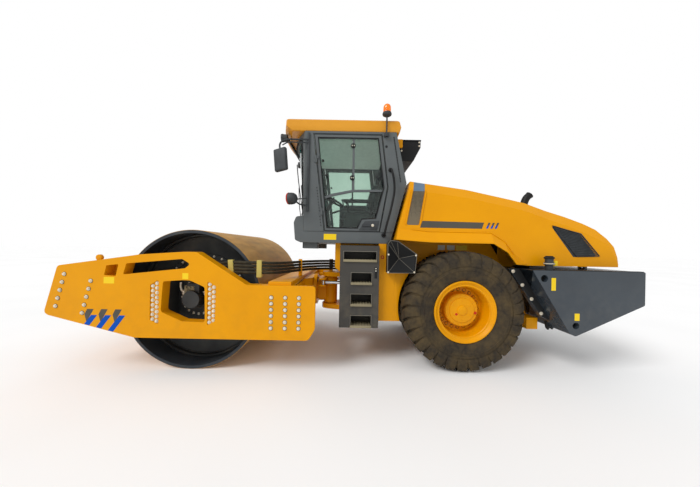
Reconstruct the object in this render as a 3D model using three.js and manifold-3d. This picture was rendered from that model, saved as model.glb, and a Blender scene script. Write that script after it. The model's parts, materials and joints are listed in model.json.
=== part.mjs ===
// An articulated single-drum road roller: a steel drum in a yoke frame in front, a cab in the
// middle, and a tractor section with two driven tyres, a tilting hood and a counterweight behind.
// Millimetres, +Z up. The machine faces -Y, its left side is +X and the ground is z = 0.
import * as THREE from "three";
import { mergeVertices } from "three/addons/utils/BufferGeometryUtils.js";
import Module from "manifold-3d";

const wasm = await Module();
wasm.setup();

// ---------------------------------------------------------------- driving dimensions
const SEAT_GAP = 0.3; // between fixed pieces that rest on each other
const RUN_GAP = 8; // between a moving piece and what it moves past
const PIN_GAP = 1; // radial gap of a shaft in its bore

const HALF_WIDTH = 1235; // to the outer face of the yoke's side plates
const DRUM_RADIUS = 850;
const DRUM_SHELL = 40; // thickness of the rolled drum shell
const DRUM_SIDE_GAP = 40; // between drum edge and side plate
const HEAD_DEPTH = 320; // how far the drum's end plates sit inside its edges
const HEAD_THICKNESS = 40;

const SIDE_BOX = 130; // depth of the side plates' box section
const SIDE_PLATE = 40; // thickness of their single rear plate
const YOKE_PITCH_GAP = 121; // between the drum and the rear crossbeam
const REAR_BEAM_FRONT = -950; // y of the rear crossbeam's front face
const REAR_BEAM_BACK = -660; // y of its back face
const YOKE_REAR = -390; // y of the side plates' rear edge
const YOKE_TOP = 1062; // z of the side plates' level rear edge
const YOKE_BOTTOM = 430; // z of their level bottom edge

const PIVOT_Y = -300; // the vertical articulation pin
const LINK_Z = 850; // height of the oscillation bearing
const LINK_POST = 105; // radius of the post on the pin
const LINK_FLANGE = 240; // radius of the oscillation bearing's flange
const EAR_NOSE = 130; // radius of the ears round the pin
const EAR_THICKNESS = 70;
const EAR_SPAN = 430; // clear height between the two ears
const CYLINDER_X = 250; // sideways place of the steering cylinders
const CYLINDER_Z = 985; // height of the steering cylinders
const CYLINDER_ROD_Y = -400; // rod eye
const CYLINDER_BASE_Y = 560; // barrel pin

const TYRE_RADIUS = 750;
const TYRE_WIDTH = 590;
const TYRE_OUTER = 1080; // x of the tyre's outer side
const RIM_RADIUS = 320; // bead seat
const RIM_FLANGE = 380;
const STEP_TYRE_GAP = 304; // between steps and tyres
const ARCH_GAP = 100; // between tyre crown and the hood's lower lip
const ARCH_FRONT_GAP = 84; // between tyre and side tank
const RAIL_OUTER = 420; // half width over the chassis rails
const RAIL_THICKNESS = 80;
const RAIL_OVERHANG = 596; // from the tyres to the rails' rear end
const FRAME_BOTTOM = 560;

const CAB_HALF = 800; // half width over the cab
const CAB_WALL = 60;
const CAB_LIFT = 23; // the cab floor hangs this far below the hood's lip
const SILL_HEIGHT = 152; // cab floor's depth, from its bottom to the door sill
const NOSE_HEIGHT = 354; // from the cab floor's bottom to the foot of the windshield
const CAB_WAIST = 802; // from the cab floor's bottom to the widest point of the back
const CAB_HEIGHT = 1473; // from the cab floor's bottom to the underside of the roof
const ROOF_THICKNESS = 165;
const DOOR_THICKNESS = 50;
const GLASS = 8;

const STEP_OUTER = 900; // x of the step box's face
const STEP_DEPTH = 280;
const STEP_FRONT = -125; // y
const STEP_REAR = 380; // y
const STEP_BOTTOM = 490;
const STEP_OPENING = 145; // height of each of the three lower openings
const STEP_SKIRT = 15; // from the box's bottom to the lowest opening
const STEP_HEADER = 262; // from the openings' upper pitch line to the cab floor

const HOOD_SKIN = 24;
const HOOD_HALF = 880; // half width at the fold
const HOOD_CAB_GAP = 44; // between hood and cab back
const HOOD_HINGE_BACK = 35; // from the machine's rear end to the hood's hinge
const HOOD_HINGE_RISE = 22; // height of the hood's hinge over the counterweight
const PANEL_DEPTH = 12; // depth of the recesses that hold band and grilles

const WEIGHT_HALF = 1150; // half width over the counterweight
const WEIGHT_DROP = 310; // from the hood's lip down to the counterweight's top
const REAR_OVERHANG = 1333; // from the tyres to the machine's rear end
const HOOD_TAIL = 55; // from the hood's last section to the rear end

const HOSE_COUNT = 4;
const HOSE_RADIUS = 15;
const HOSE_PITCH = 40; // one hose above the next
const HOSE_Z = 1180; // height of the lowest hose over the crossbeam and the pivot
const HOSE_CLAMPS = [-1427, -1090]; // y of the two straps on the left side plate

const DRUM_SIDES = 48; // sides of the drum, one of them flat on the ground
const TYRE_SIDES = 40; // sides of a tyre, likewise
const SLIVER = 0.02; // edges shorter than this are dropped
const ROUND = 24; // sides of a large round piece
const SMALL_ROUND = 12; // sides of a small round piece

// ---------------------------------------------------------------- places that follow from them
const DECK = 2 * TYRE_RADIUS + ARCH_GAP; // level of the hood's lower lip
const CAB_BOTTOM = DECK - CAB_LIFT;
const SILL = CAB_BOTTOM + SILL_HEIGHT;
const NOSE_TOP = CAB_BOTTOM + NOSE_HEIGHT;
const WAIST = CAB_BOTTOM + CAB_WAIST;
const CAB_TOP = CAB_BOTTOM + CAB_HEIGHT;
const DRUM_HALF = HALF_WIDTH - SIDE_BOX - DRUM_SIDE_GAP;
const DRUM_Y = REAR_BEAM_FRONT - YOKE_PITCH_GAP - DRUM_RADIUS;
const TYRE_MIDDLE = TYRE_OUTER - TYRE_WIDTH / 2;
const AXLE_Y = STEP_REAR + STEP_TYRE_GAP + TYRE_RADIUS;
const TYRE_FRONT = AXLE_Y - TYRE_RADIUS;
const TYRE_REAR = AXLE_Y + TYRE_RADIUS;
const RAIL_REAR = TYRE_REAR + RAIL_OVERHANG;
const REAR_END = TYRE_REAR + REAR_OVERHANG;
const WEIGHT_TOP = DECK - WEIGHT_DROP;
const EAR_TOP_Z = LINK_Z + EAR_SPAN / 2;
const EAR_BOTTOM_Z = LINK_Z - EAR_SPAN / 2;
const HOOD_HINGE_Y = REAR_END - HOOD_HINGE_BACK;
const HOOD_HINGE_Z = WEIGHT_TOP + HOOD_HINGE_RISE;

// ---------------------------------------------------------------- solids
const X = new THREE.Vector3(1, 0, 0);
const Y = new THREE.Vector3(0, 1, 0);
const Z = new THREE.Vector3(0, 0, 1);

// A geometry as a manifold-3d solid.
function solid(geometry) {
  const bare = geometry.index ? geometry.toNonIndexed() : geometry.clone();
  bare.deleteAttribute("normal");
  bare.deleteAttribute("uv");
  const merged = mergeVertices(bare, 1e-4);
  return new wasm.Manifold(
    new wasm.Mesh({
      numProp: 3,
      vertProperties: new Float32Array(merged.attributes.position.array),
      triVerts: new Uint32Array(merged.index.array),
    }),
  );
}

// A manifold-3d solid as a geometry, without the slivers that cuts leave.
function geometryOf(body) {
  const mesh = body.simplify(SLIVER).getMesh();
  const geometry = new THREE.BufferGeometry();
  geometry.setAttribute("position", new THREE.BufferAttribute(mesh.vertProperties, 3));
  geometry.setIndex(new THREE.BufferAttribute(mesh.triVerts, 1));
  return geometry;
}

function join(...bodies) {
  return bodies.reduce((all, next) => all.add(next));
}

function cut(body, ...tools) {
  return tools.reduce((left, tool) => left.subtract(tool), body);
}

function box(x0, x1, y0, y1, z0, z1) {
  const geometry = new THREE.BoxGeometry(x1 - x0, y1 - y0, z1 - z0);
  geometry.translate((x0 + x1) / 2, (y0 + y1) / 2, (z0 + z1) / 2);
  return solid(geometry);
}

// An outline with its corners rounded: each point may carry a radius as its third number.
function outline(points) {
  const count = points.length;
  const corners = points.map((p) => new THREE.Vector2(p[0], p[1]));
  const drawn = [];
  corners.forEach((corner, i) => {
    const radius = points[i][2] || 0;
    const before = corners[(i + count - 1) % count].clone().sub(corner).normalize();
    const after = corners[(i + 1) % count].clone().sub(corner).normalize();
    if (!radius) {
      drawn.push(corner);
      return;
    }
    const half = Math.acos(THREE.MathUtils.clamp(before.dot(after), -1, 1)) / 2;
    const reach = radius / Math.tan(half);
    const from = corner.clone().addScaledVector(before, reach);
    const to = corner.clone().addScaledVector(after, reach);
    const steps = Math.max(2, Math.round(((Math.PI - 2 * half) / Math.PI) * 6));
    const centre = corner.clone().addScaledVector(
      before.clone().add(after).normalize(), radius / Math.sin(half));
    const start = from.clone().sub(centre).angle();
    let turn = to.clone().sub(centre).angle() - start;
    if (turn > Math.PI) turn -= 2 * Math.PI;
    if (turn < -Math.PI) turn += 2 * Math.PI;
    for (let k = 0; k <= steps; k++) {
      const angle = start + (turn * k) / steps;
      drawn.push(new THREE.Vector2(
        centre.x + radius * Math.cos(angle), centre.y + radius * Math.sin(angle)));
    }
  });
  return new THREE.Shape(drawn);
}

function prism(points, depth, basis) {
  const geometry = new THREE.ExtrudeGeometry(outline(points), { depth, bevelEnabled: false });
  geometry.applyMatrix4(basis);
  return solid(geometry);
}

// An outline in (y, z), stretched along X from x0 to x1.
function prismX(points, x0, x1) {
  return prism(points, x1 - x0, new THREE.Matrix4().makeBasis(Y, Z, X).setPosition(x0, 0, 0));
}

// An outline in (x, z), stretched along Y from y0 to y1.
function prismY(points, y0, y1) {
  const back = Y.clone().negate();
  return prism(points, y1 - y0, new THREE.Matrix4().makeBasis(X, Z, back).setPosition(0, y1, 0));
}

// An outline in (x, y), stretched along Z from z0 to z1.
function prismZ(points, z0, z1) {
  return prism(points, z1 - z0, new THREE.Matrix4().setPosition(0, 0, z0));
}

// A rod of the given radius from one point to another.
function rod(from, to, radius, sides = SMALL_ROUND, endRadius = radius) {
  const a = new THREE.Vector3(...from);
  const b = new THREE.Vector3(...to);
  const along = b.clone().sub(a);
  const geometry = new THREE.CylinderGeometry(endRadius, radius, along.length(), sides);
  geometry.applyQuaternion(
    new THREE.Quaternion().setFromUnitVectors(Y, along.clone().normalize()));
  const middle = a.add(b).multiplyScalar(0.5);
  geometry.translate(middle.x, middle.y, middle.z);
  return solid(geometry);
}

// A round body turned about a line along X: the profile's points are (radius, x).
// With stand, its sides are turned and let out so that one lies flat below, at the full radius.
function turnedX(profile, y, z, sides = ROUND, stand = false) {
  const out = stand ? 1 / Math.cos(Math.PI / sides) : 1;
  const geometry = new THREE.LatheGeometry(
    profile.map((p) => new THREE.Vector2(p[0] * out, p[1])), sides);
  if (stand) geometry.rotateY(Math.PI / sides);
  geometry.applyMatrix4(new THREE.Matrix4().makeBasis(Y, X, Z.clone().negate()));
  geometry.translate(0, y, z);
  return solid(geometry);
}

// A pipe along a smooth curve through the given points.
function pipe(points, radius, steps, sides = 8) {
  const path = new THREE.CatmullRomCurve3(points.map((p) => new THREE.Vector3(...p)));
  const section = new THREE.Shape();
  for (let k = 0; k < sides; k++) {
    const angle = (2 * Math.PI * k) / sides;
    const x = radius * Math.cos(angle);
    const y = radius * Math.sin(angle);
    if (k) section.lineTo(x, y);
    else section.moveTo(x, y);
  }
  return solid(new THREE.ExtrudeGeometry(section, { steps, extrudePath: path }));
}

// A skin through a row of like sections, each a loop of points, closed at both ends.
function loft(sections) {
  const size = sections[0].length;
  const positions = [];
  sections.forEach((section) => section.forEach((p) => positions.push(...p)));
  const index = [];
  for (let s = 0; s + 1 < sections.length; s++) {
    for (let k = 0; k < size; k++) {
      const a = s * size + k;
      const b = s * size + ((k + 1) % size);
      index.push(a, b, b + size, a, b + size, a + size);
    }
  }
  const flat = sections[0].map((p) => flatten(sections[0], p));
  const caps = THREE.ShapeUtils.triangulateShape(flat, []);
  const last = (sections.length - 1) * size;
  caps.forEach(([a, b, c]) => {
    index.push(a, c, b);
    index.push(last + a, last + b, last + c);
  });
  const geometry = new THREE.BufferGeometry();
  geometry.setAttribute("position", new THREE.Float32BufferAttribute(positions, 3));
  geometry.setIndex(index);
  const body = solid(geometry);
  if (body.volume() > 0) return body;
  const turned = index.map((_, i) => index[i - (i % 3) + [0, 2, 1][i % 3]]);
  geometry.setIndex(turned);
  return solid(geometry);
}

// A section's point in the plane in which the section is widest.
function flatten(section, point) {
  const spread = [0, 1, 2].map((axis) => {
    const values = section.map((p) => p[axis]);
    return Math.max(...values) - Math.min(...values);
  });
  const thin = spread.indexOf(Math.min(...spread));
  const [u, v] = [0, 1, 2].filter((axis) => axis !== thin);
  return new THREE.Vector2(point[u], point[v]);
}

function mirrored(body) {
  return body.mirror([1, 0, 0]);
}

// ---------------------------------------------------------------- paints and materials
function material(color, roughness, metalness) {
  return new THREE.MeshStandardMaterial({ color, roughness, metalness });
}
const yellow = material(0xf0a000, 0.4, 0.1);
const greyPaint = material(0x616361, 0.5, 0.1);
const darkPaint = material(0x434c53, 0.45, 0.1);
const blackSteel = material(0x2b2b2a, 0.6, 0.4);
const drumSteel = material(0x44443f, 0.55, 0.6);
const rubber = material(0x3a3430, 0.85, 0);
const chrome = material(0xd0d3d6, 0.15, 1);
const tintedGlass = material(0x82a094, 0.08, 0);
const amber = material(0xf07a10, 0.2, 0);
const hoseRubber = material(0x171717, 0.7, 0);
const seatCloth = material(0x25282a, 0.8, 0);
const moulded = material(0x2a2d30, 0.6, 0);

const model = new THREE.Group();
function add(name, body, finish) {
  const mesh = new THREE.Mesh(geometryOf(body), finish);
  mesh.name = name;
  model.add(mesh);
}
function addPair(name, leftBody, finish) {
  add(name + "_left", leftBody, finish);
  add(name + "_right", mirrored(leftBody), finish);
}

// ---------------------------------------------------------------- front frame
// Places along the side plates are counted from the drum's axle.
function yokePoint(y, z, radius) {
  return [DRUM_Y + y, z, radius];
}
const YOKE_OUTLINE = [
  yokePoint(-1604, 700, 45),
  yokePoint(-1553, 672, 30),
  yokePoint(-550, YOKE_BOTTOM, 60),
  [YOKE_REAR - 75, YOKE_BOTTOM, 60],
  [YOKE_REAR, YOKE_BOTTOM + 130, 60],
  [YOKE_REAR, YOKE_TOP, 38],
  [DRUM_Y + 735, YOKE_TOP, 60],
  yokePoint(150, 1432, 60),
  yokePoint(0, 1432, 60),
  yokePoint(-502, 1393, 200),
  yokePoint(-1457, 1248, 40),
];
const YOKE_WINDOW = [
  yokePoint(-232, 1087, 26),
  yokePoint(-8, 1104),
  yokePoint(80, 1102, 30),
  yokePoint(250, 1028, 30),
  yokePoint(260, 620, 30),
  yokePoint(0, 627, 30),
  yokePoint(-255, 735, 40),
];
const YOKE_SLOT = [
  yokePoint(-659, 1286, 12),
  yokePoint(-696, 1157, 12),
  yokePoint(15, 1240, 25),
  yokePoint(80, 1291, 20),
  yokePoint(-16, 1349, 20),
];
const YOKE_SMALL_SLOT = [
  yokePoint(-891, 1259, 10),
  yokePoint(-915, 1146, 10),
  yokePoint(-782, 1134, 10),
  yokePoint(-751, 1275, 10),
];

// Shallow pockets beside the window, which hold the carrier's bolts.
const POCKET_DEPTH = 12;
const YOKE_POCKETS = [
  [
    yokePoint(-380, 1042, 12),
    yokePoint(-282, 1105, 12),
    yokePoint(-276, 586, 12),
    yokePoint(-378, 640, 12),
  ],
  [
    yokePoint(283, 1098, 12),
    yokePoint(381, 1039, 12),
    yokePoint(374, 640, 12),
    yokePoint(284, 584, 12),
  ],
];

function sidePlate() {
  const inner = HALF_WIDTH - SIDE_BOX;
  const wall = HALF_WIDTH - SIDE_PLATE;
  const whole = prismX(YOKE_OUTLINE, inner, HALF_WIDTH);
  const thinPart = box(
    inner - 1, wall, REAR_BEAM_FRONT, YOKE_REAR + 1, YOKE_BOTTOM - 1, YOKE_TOP + 1);
  const through = [YOKE_WINDOW, YOKE_SLOT, YOKE_SMALL_SLOT].map((hole) =>
    prismX(hole, inner - 1, HALF_WIDTH + 1));
  const pockets = YOKE_POCKETS.map((pocket) =>
    prismX(pocket, HALF_WIDTH - POCKET_DEPTH, HALF_WIDTH + 1));
  return cut(whole, thinPart, ...through, ...pockets);
}

function frontCrossbeam() {
  const end = HALF_WIDTH - SIDE_BOX - SEAT_GAP;
  return prismX([
    yokePoint(-1430, 1190, 20),
    yokePoint(-1530, 740, 20),
    yokePoint(-1120, 640, 20),
    yokePoint(-1030, 1150, 20),
  ], -end, end);
}

const END_PAD = 185; // width of the pads behind the beam's ends
// The rear crossbeam reaches the single plates, and stays clear of the steps when steered.
function rearCrossbeam() {
  const end = HALF_WIDTH - SIDE_PLATE - SEAT_GAP;
  const front = REAR_BEAM_FRONT + SEAT_GAP;
  const bottom = YOKE_BOTTOM + 110;
  const beam = box(-end, end, front, REAR_BEAM_BACK, bottom, YOKE_TOP - 10);
  const topPlate = box(-end, end, front, REAR_BEAM_BACK - 20, YOKE_TOP - 20, YOKE_TOP + 40);
  const endPad = box(
    end - END_PAD, end, REAR_BEAM_BACK - 1, YOKE_REAR - 130, bottom, YOKE_TOP - 60);
  const bracket = prismZ([
    [-400, REAR_BEAM_BACK - 1],
    [400, REAR_BEAM_BACK - 1],
    [LINK_FLANGE + 20, PIVOT_Y - 260, 30],
    [-LINK_FLANGE - 20, PIVOT_Y - 260, 30],
  ], LINK_Z - 290, LINK_Z + 200);
  return join(beam, topPlate, endPad, mirrored(endPad), bracket);
}

// The drum's carrier: two rubber-mounted bars on the side plate, a plate and a bearing housing.
const BEARING_RADIUS = 150;
const SHAFT_RADIUS = 80;
const CARRIER_PLATE_X = DRUM_HALF - 190;
function drumCarrier() {
  const face = HALF_WIDTH - SIDE_BOX - SEAT_GAP;
  const headFace = DRUM_HALF - HEAD_DEPTH;
  const bars = [[-372, -272], [272, 372]].map(([y0, y1]) =>
    box(CARRIER_PLATE_X - 40, face, DRUM_Y + y0, DRUM_Y + y1, DRUM_RADIUS - 230, DRUM_RADIUS + 240));
  const plate = box(
    CARRIER_PLATE_X - 40, CARRIER_PLATE_X, DRUM_Y - 300, DRUM_Y + 300, DRUM_RADIUS - 210, DRUM_RADIUS + 210);
  const housing = rod(
    [headFace + RUN_GAP, DRUM_Y, DRUM_RADIUS], [CARRIER_PLATE_X + 1, DRUM_Y, DRUM_RADIUS],
    BEARING_RADIUS, ROUND);
  const motor = rod(
    [CARRIER_PLATE_X - 1, DRUM_Y, DRUM_RADIUS], [DRUM_HALF + 20, DRUM_Y, DRUM_RADIUS], 105, 24);
  const block = box(
    CARRIER_PLATE_X - 1, DRUM_HALF - 20, DRUM_Y - 70, DRUM_Y + 80, DRUM_RADIUS + 60, DRUM_RADIUS + 190);
  const bore = rod(
    [headFace, DRUM_Y, DRUM_RADIUS], [CARRIER_PLATE_X - 20, DRUM_Y, DRUM_RADIUS],
    SHAFT_RADIUS + PIN_GAP, ROUND);
  return cut(join(...bars, plate, housing, motor, block), bore);
}

function drumShell() {
  return turnedX([
    [DRUM_RADIUS - DRUM_SHELL, -DRUM_HALF],
    [DRUM_RADIUS, -DRUM_HALF],
    [DRUM_RADIUS, DRUM_HALF],
    [DRUM_RADIUS - DRUM_SHELL, DRUM_HALF],
    [DRUM_RADIUS - DRUM_SHELL, -DRUM_HALF],
  ], DRUM_Y, DRUM_RADIUS, DRUM_SIDES, true);
}

// An end plate with its stiffening ring and the shaft that turns in the carrier.
function drumHead() {
  const face = DRUM_HALF - HEAD_DEPTH;
  const edge = DRUM_RADIUS - DRUM_SHELL - SEAT_GAP;
  return turnedX([
    [0, face - HEAD_THICKNESS],
    [edge, face - HEAD_THICKNESS],
    [edge, face + 60],
    [edge - 30, face + 60],
    [edge - 30, face],
    [SHAFT_RADIUS, face],
    [SHAFT_RADIUS, CARRIER_PLATE_X - 25],
    [0, CARRIER_PLATE_X - 25],
  ], DRUM_Y, DRUM_RADIUS, DRUM_SIDES, true);
}

// ---------------------------------------------------------------- centre link and steering
const GUIDE_X = 20; // side face of the hose guide that stands on the pin
function articulationLink() {
  const post = rod(
    [0, PIVOT_Y, EAR_BOTTOM_Z + RUN_GAP], [0, PIVOT_Y, EAR_TOP_Z - RUN_GAP], LINK_POST, 24);
  const flange = rod(
    [0, PIVOT_Y - 260 + SEAT_GAP, LINK_Z], [0, PIVOT_Y - 205, LINK_Z], LINK_FLANGE, ROUND);
  const neck = box(-80, 80, PIVOT_Y - 206, PIVOT_Y, LINK_Z - 150, LINK_Z + 110);
  const pin = rod(
    [0, PIVOT_Y, EAR_BOTTOM_Z - EAR_THICKNESS + 10], [0, PIVOT_Y, EAR_TOP_Z + EAR_THICKNESS + 8],
    60, 24);
  const guideTop = HOSE_Z + HOSE_PITCH * (HOSE_COUNT - 1) + 2 * HOSE_RADIUS;
  const guide = box(
    -20, GUIDE_X - SEAT_GAP, PIVOT_Y - 30, PIVOT_Y + 30, EAR_TOP_Z + EAR_THICKNESS + 7, guideTop);
  return join(post, flange, neck, pin, guide, linkArm(), mirrored(linkArm()));
}

// The lugs that hold a steering cylinder's rod eye, above and below it.
const EYE_HALF = 30;
function linkArm() {
  const ear = [
    [0, PIVOT_Y - 190],
    [CYLINDER_X - 60, CYLINDER_ROD_Y - 60],
    [CYLINDER_X + 45, CYLINDER_ROD_Y - 60, 40],
    [CYLINDER_X + 45, CYLINDER_ROD_Y + 50, 40],
    [CYLINDER_X - 60, CYLINDER_ROD_Y + 50, 20],
    [0, PIVOT_Y - 60],
  ];
  const upper = prismZ(ear, CYLINDER_Z + EYE_HALF + RUN_GAP, CYLINDER_Z + EYE_HALF + RUN_GAP + 22);
  const lower = prismZ(ear, CYLINDER_Z - EYE_HALF - RUN_GAP - 22, CYLINDER_Z - EYE_HALF - RUN_GAP);
  const web = box(-1, 110, PIVOT_Y - 190, PIVOT_Y - 60, CYLINDER_Z - 60, CYLINDER_Z + 60);
  return join(upper, lower, web);
}

const BARREL_FRONT = CYLINDER_ROD_Y + 330; // y of the barrel's gland end
function steeringBarrel() {
  const tube = rod(
    [CYLINDER_X, BARREL_FRONT, CYLINDER_Z], [CYLINDER_X, CYLINDER_BASE_Y - 50, CYLINDER_Z], 52, 24);
  const eye = rod(
    [CYLINDER_X, CYLINDER_BASE_Y, CYLINDER_Z - EYE_HALF],
    [CYLINDER_X, CYLINDER_BASE_Y, CYLINDER_Z + EYE_HALF], 55, 24);
  const bore = rod(
    [CYLINDER_X, BARREL_FRONT - 1, CYLINDER_Z], [CYLINDER_X, CYLINDER_BASE_Y - 90, CYLINDER_Z],
    27 + PIN_GAP, 24);
  const pinHole = rod(
    [CYLINDER_X, CYLINDER_BASE_Y, CYLINDER_Z - 60], [CYLINDER_X, CYLINDER_BASE_Y, CYLINDER_Z + 60],
    25 + PIN_GAP, 24);
  return cut(join(tube, eye), bore, pinHole);
}

function steeringRod() {
  const bar = rod(
    [CYLINDER_X, CYLINDER_ROD_Y, CYLINDER_Z], [CYLINDER_X, BARREL_FRONT + 230, CYLINDER_Z], 27, 24);
  const eye = rod(
    [CYLINDER_X, CYLINDER_ROD_Y, CYLINDER_Z - EYE_HALF],
    [CYLINDER_X, CYLINDER_ROD_Y, CYLINDER_Z + EYE_HALF], 45, 24);
  return join(bar, eye);
}

// ---------------------------------------------------------------- chassis
const RAIL_INNER = RAIL_OUTER - RAIL_THICKNESS;
const AXLE_TOP = TYRE_RADIUS + 180;
function chassis() {
  const top = CAB_BOTTOM - SEAT_GAP;
  const side = [
    [-60, FRAME_BOTTOM],
    [TYRE_FRONT - 84, FRAME_BOTTOM],
    [AXLE_Y - 500, AXLE_TOP],
    [AXLE_Y + 500, AXLE_TOP],
    [AXLE_Y + 760, FRAME_BOTTOM + 40],
    [RAIL_REAR, FRAME_BOTTOM + 40],
    [RAIL_REAR, WEIGHT_TOP - 110],
    [AXLE_Y - 780, WEIGHT_TOP - 110],
    [AXLE_Y - 880, top],
    [-60, top],
  ];
  const rail = prismX(side, RAIL_INNER, RAIL_OUTER);
  const bulkhead = box(-RAIL_OUTER, RAIL_OUTER, -60, -20, FRAME_BOTTOM, top);
  const middle = box(
    -RAIL_OUTER + 1, RAIL_OUTER - 1, CYLINDER_BASE_Y + 90, CYLINDER_BASE_Y + 130,
    FRAME_BOTTOM + 140, WEIGHT_TOP - 120);
  const rear = box(
    -RAIL_OUTER + 1, RAIL_OUTER - 1, RAIL_REAR - 40, RAIL_REAR, FRAME_BOTTOM + 60, WEIGHT_TOP - 120);
  const ear = [
    [-EAR_NOSE, PIVOT_Y - EAR_NOSE, EAR_NOSE - 1],
    [EAR_NOSE, PIVOT_Y - EAR_NOSE, EAR_NOSE - 1],
    [250, -59],
    [-250, -59],
  ];
  const upper = prismZ(ear, EAR_TOP_Z, EAR_TOP_Z + EAR_THICKNESS);
  const lower = prismZ(ear, EAR_BOTTOM_Z - EAR_THICKNESS, EAR_BOTTOM_Z);
  const pinBore = rod([0, PIVOT_Y, 100], [0, PIVOT_Y, DECK], 60 + PIN_GAP, 24);
  const windows = box(
    CYLINDER_X - 110, CYLINDER_X + 85, -61, 0, CYLINDER_Z - 75, CYLINDER_Z + 75);
  const lug = cylinderLug();
  const sides = join(rail, wheelWall(), lowBox());
  const frame = join(sides, mirrored(sides), bulkhead, middle, rear, upper, lower);
  return join(cut(frame, pinBore, windows, mirrored(windows)), lug, mirrored(lug));
}

// The thin wall between tyre and engine, which closes the wheel arch above the rail.
const WALL_THICKNESS = 12;
function wheelWall() {
  return prismX([
    [AXLE_Y - 740, WEIGHT_TOP - 120],
    [AXLE_Y + 720, WEIGHT_TOP - 120],
    [AXLE_Y + 720, DECK - 150],
    [AXLE_Y + 600, DECK + 45],
    [AXLE_Y - 740, DECK + 45],
  ], RAIL_OUTER - WALL_THICKNESS, RAIL_OUTER);
}

// A box under the rail behind the tyre.
function lowBox() {
  return box(
    RAIL_INNER, RAIL_OUTER + 280, TYRE_REAR + 230, TYRE_REAR + 380,
    FRAME_BOTTOM - 100, FRAME_BOTTOM + 54);
}

// Two plates and a pin on the rail's inner side, which hold a steering cylinder's barrel.
function cylinderLug() {
  const shape = [
    [CYLINDER_X - 40, CYLINDER_BASE_Y - 40, 30],
    [RAIL_INNER + 1, CYLINDER_BASE_Y - 40],
    [RAIL_INNER + 1, CYLINDER_BASE_Y + 45],
    [CYLINDER_X - 40, CYLINDER_BASE_Y + 45, 30],
  ];
  const upper = prismZ(shape, CYLINDER_Z + EYE_HALF + PIN_GAP, CYLINDER_Z + EYE_HALF + 20);
  const lower = prismZ(shape, CYLINDER_Z - EYE_HALF - 20, CYLINDER_Z - EYE_HALF - PIN_GAP);
  const pin = rod(
    [CYLINDER_X, CYLINDER_BASE_Y, CYLINDER_Z - EYE_HALF - 15],
    [CYLINDER_X, CYLINDER_BASE_Y, CYLINDER_Z + EYE_HALF + 15], 25, 24);
  return join(upper, lower, pin);
}

const SPINDLE_RADIUS = 60;
const AXLE_END = TYRE_MIDDLE - 185;
function rearAxle() {
  const tube = rod([-AXLE_END, AXLE_Y, TYRE_RADIUS], [AXLE_END, AXLE_Y, TYRE_RADIUS], 130, 24);
  const spindle = rod(
    [-TYRE_MIDDLE, AXLE_Y, TYRE_RADIUS], [TYRE_MIDDLE, AXLE_Y, TYRE_RADIUS], SPINDLE_RADIUS, ROUND);
  const ball = new THREE.SphereGeometry(225, 16, 10);
  ball.translate(0, AXLE_Y, TYRE_RADIUS);
  const pad = box(
    RAIL_INNER, RAIL_OUTER, AXLE_Y - 130, AXLE_Y + 130, TYRE_RADIUS, AXLE_TOP - SEAT_GAP);
  return join(tube, spindle, solid(ball), pad, mirrored(pad));
}

function engineBlock() {
  const side = RAIL_INNER - SEAT_GAP;
  return box(-side, side, AXLE_Y + 330, RAIL_REAR - 90, WEIGHT_TOP - 280, WEIGHT_TOP + 560);
}

// ---------------------------------------------------------------- rear wheels
function tyre() {
  const half = TYRE_WIDTH / 2;
  const bead = RIM_RADIUS + SEAT_GAP;
  const side = [
    [bead, -half + 55],
    [RIM_FLANGE + 2, -half + 55],
    [RIM_FLANGE + 160, -half],
    [TYRE_RADIUS - 90, -half + 10],
    [TYRE_RADIUS - 28, -half + 45],
    [TYRE_RADIUS, -half + 110],
  ];
  const other = side.slice().reverse().map(([r, x]) => [r, -x]);
  const profile = [...side, ...other, side[0]].map(([r, x]) => [r, x + TYRE_MIDDLE]);
  return turnedX(profile, AXLE_Y, TYRE_RADIUS, TYRE_SIDES, true);
}

function rim() {
  const half = TYRE_WIDTH / 2 - 55 + SEAT_GAP;
  const m = TYRE_MIDDLE;
  return turnedX([
    [SPINDLE_RADIUS + PIN_GAP, m - 180],
    [190, m - 180],
    [190, m - 40],
    [RIM_RADIUS - 26, m - 40],
    [RIM_RADIUS - 26, m - half - 22],
    [RIM_FLANGE, m - half - 22],
    [RIM_FLANGE, m - half],
    [RIM_RADIUS, m - half],
    [RIM_RADIUS, m + half],
    [RIM_FLANGE, m + half],
    [RIM_FLANGE, m + half + 22],
    [RIM_RADIUS - 40, m + 40],
    [215, m + 10],
    [200, m + 140],
    [60, m + 150],
    [0, m + 170],
    [0, m + 5],
    [SPINDLE_RADIUS + PIN_GAP, m + 5],
    [SPINDLE_RADIUS + PIN_GAP, m - 180],
  ], AXLE_Y, TYRE_RADIUS, ROUND);
}

// ---------------------------------------------------------------- side tanks, steps and boxes
const TANK_REAR = TYRE_FRONT - ARCH_FRONT_GAP;
function sideTank() {
  const top = CAB_BOTTOM - SEAT_GAP;
  const inner = RAIL_OUTER + SEAT_GAP;
  const behindSteps = STEP_OUTER - STEP_DEPTH - SEAT_GAP;
  const body = box(inner, behindSteps, STEP_FRONT, TANK_REAR, FRAME_BOTTOM, top);
  const wing = box(behindSteps - 1, CAB_HALF, STEP_REAR + SEAT_GAP, TANK_REAR, FRAME_BOTTOM, top);
  const pillar = prismX([
    [-200, top],
    [-200, CAB_BOTTOM - 330],
    [STEP_FRONT - SEAT_GAP, CAB_BOTTOM - 390],
    [STEP_FRONT + 1, CAB_BOTTOM - 390],
    [STEP_FRONT + 1, top],
  ], behindSteps - 60, behindSteps);
  const filler = prismX([
    [-200, top],
    [-200, CAB_BOTTOM - 330],
    [STEP_FRONT - SEAT_GAP, CAB_BOTTOM - 390],
    [STEP_FRONT - SEAT_GAP, top],
  ], behindSteps - 1, CAB_HALF - 100);
  return join(body, wing, pillar, filler);
}

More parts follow.
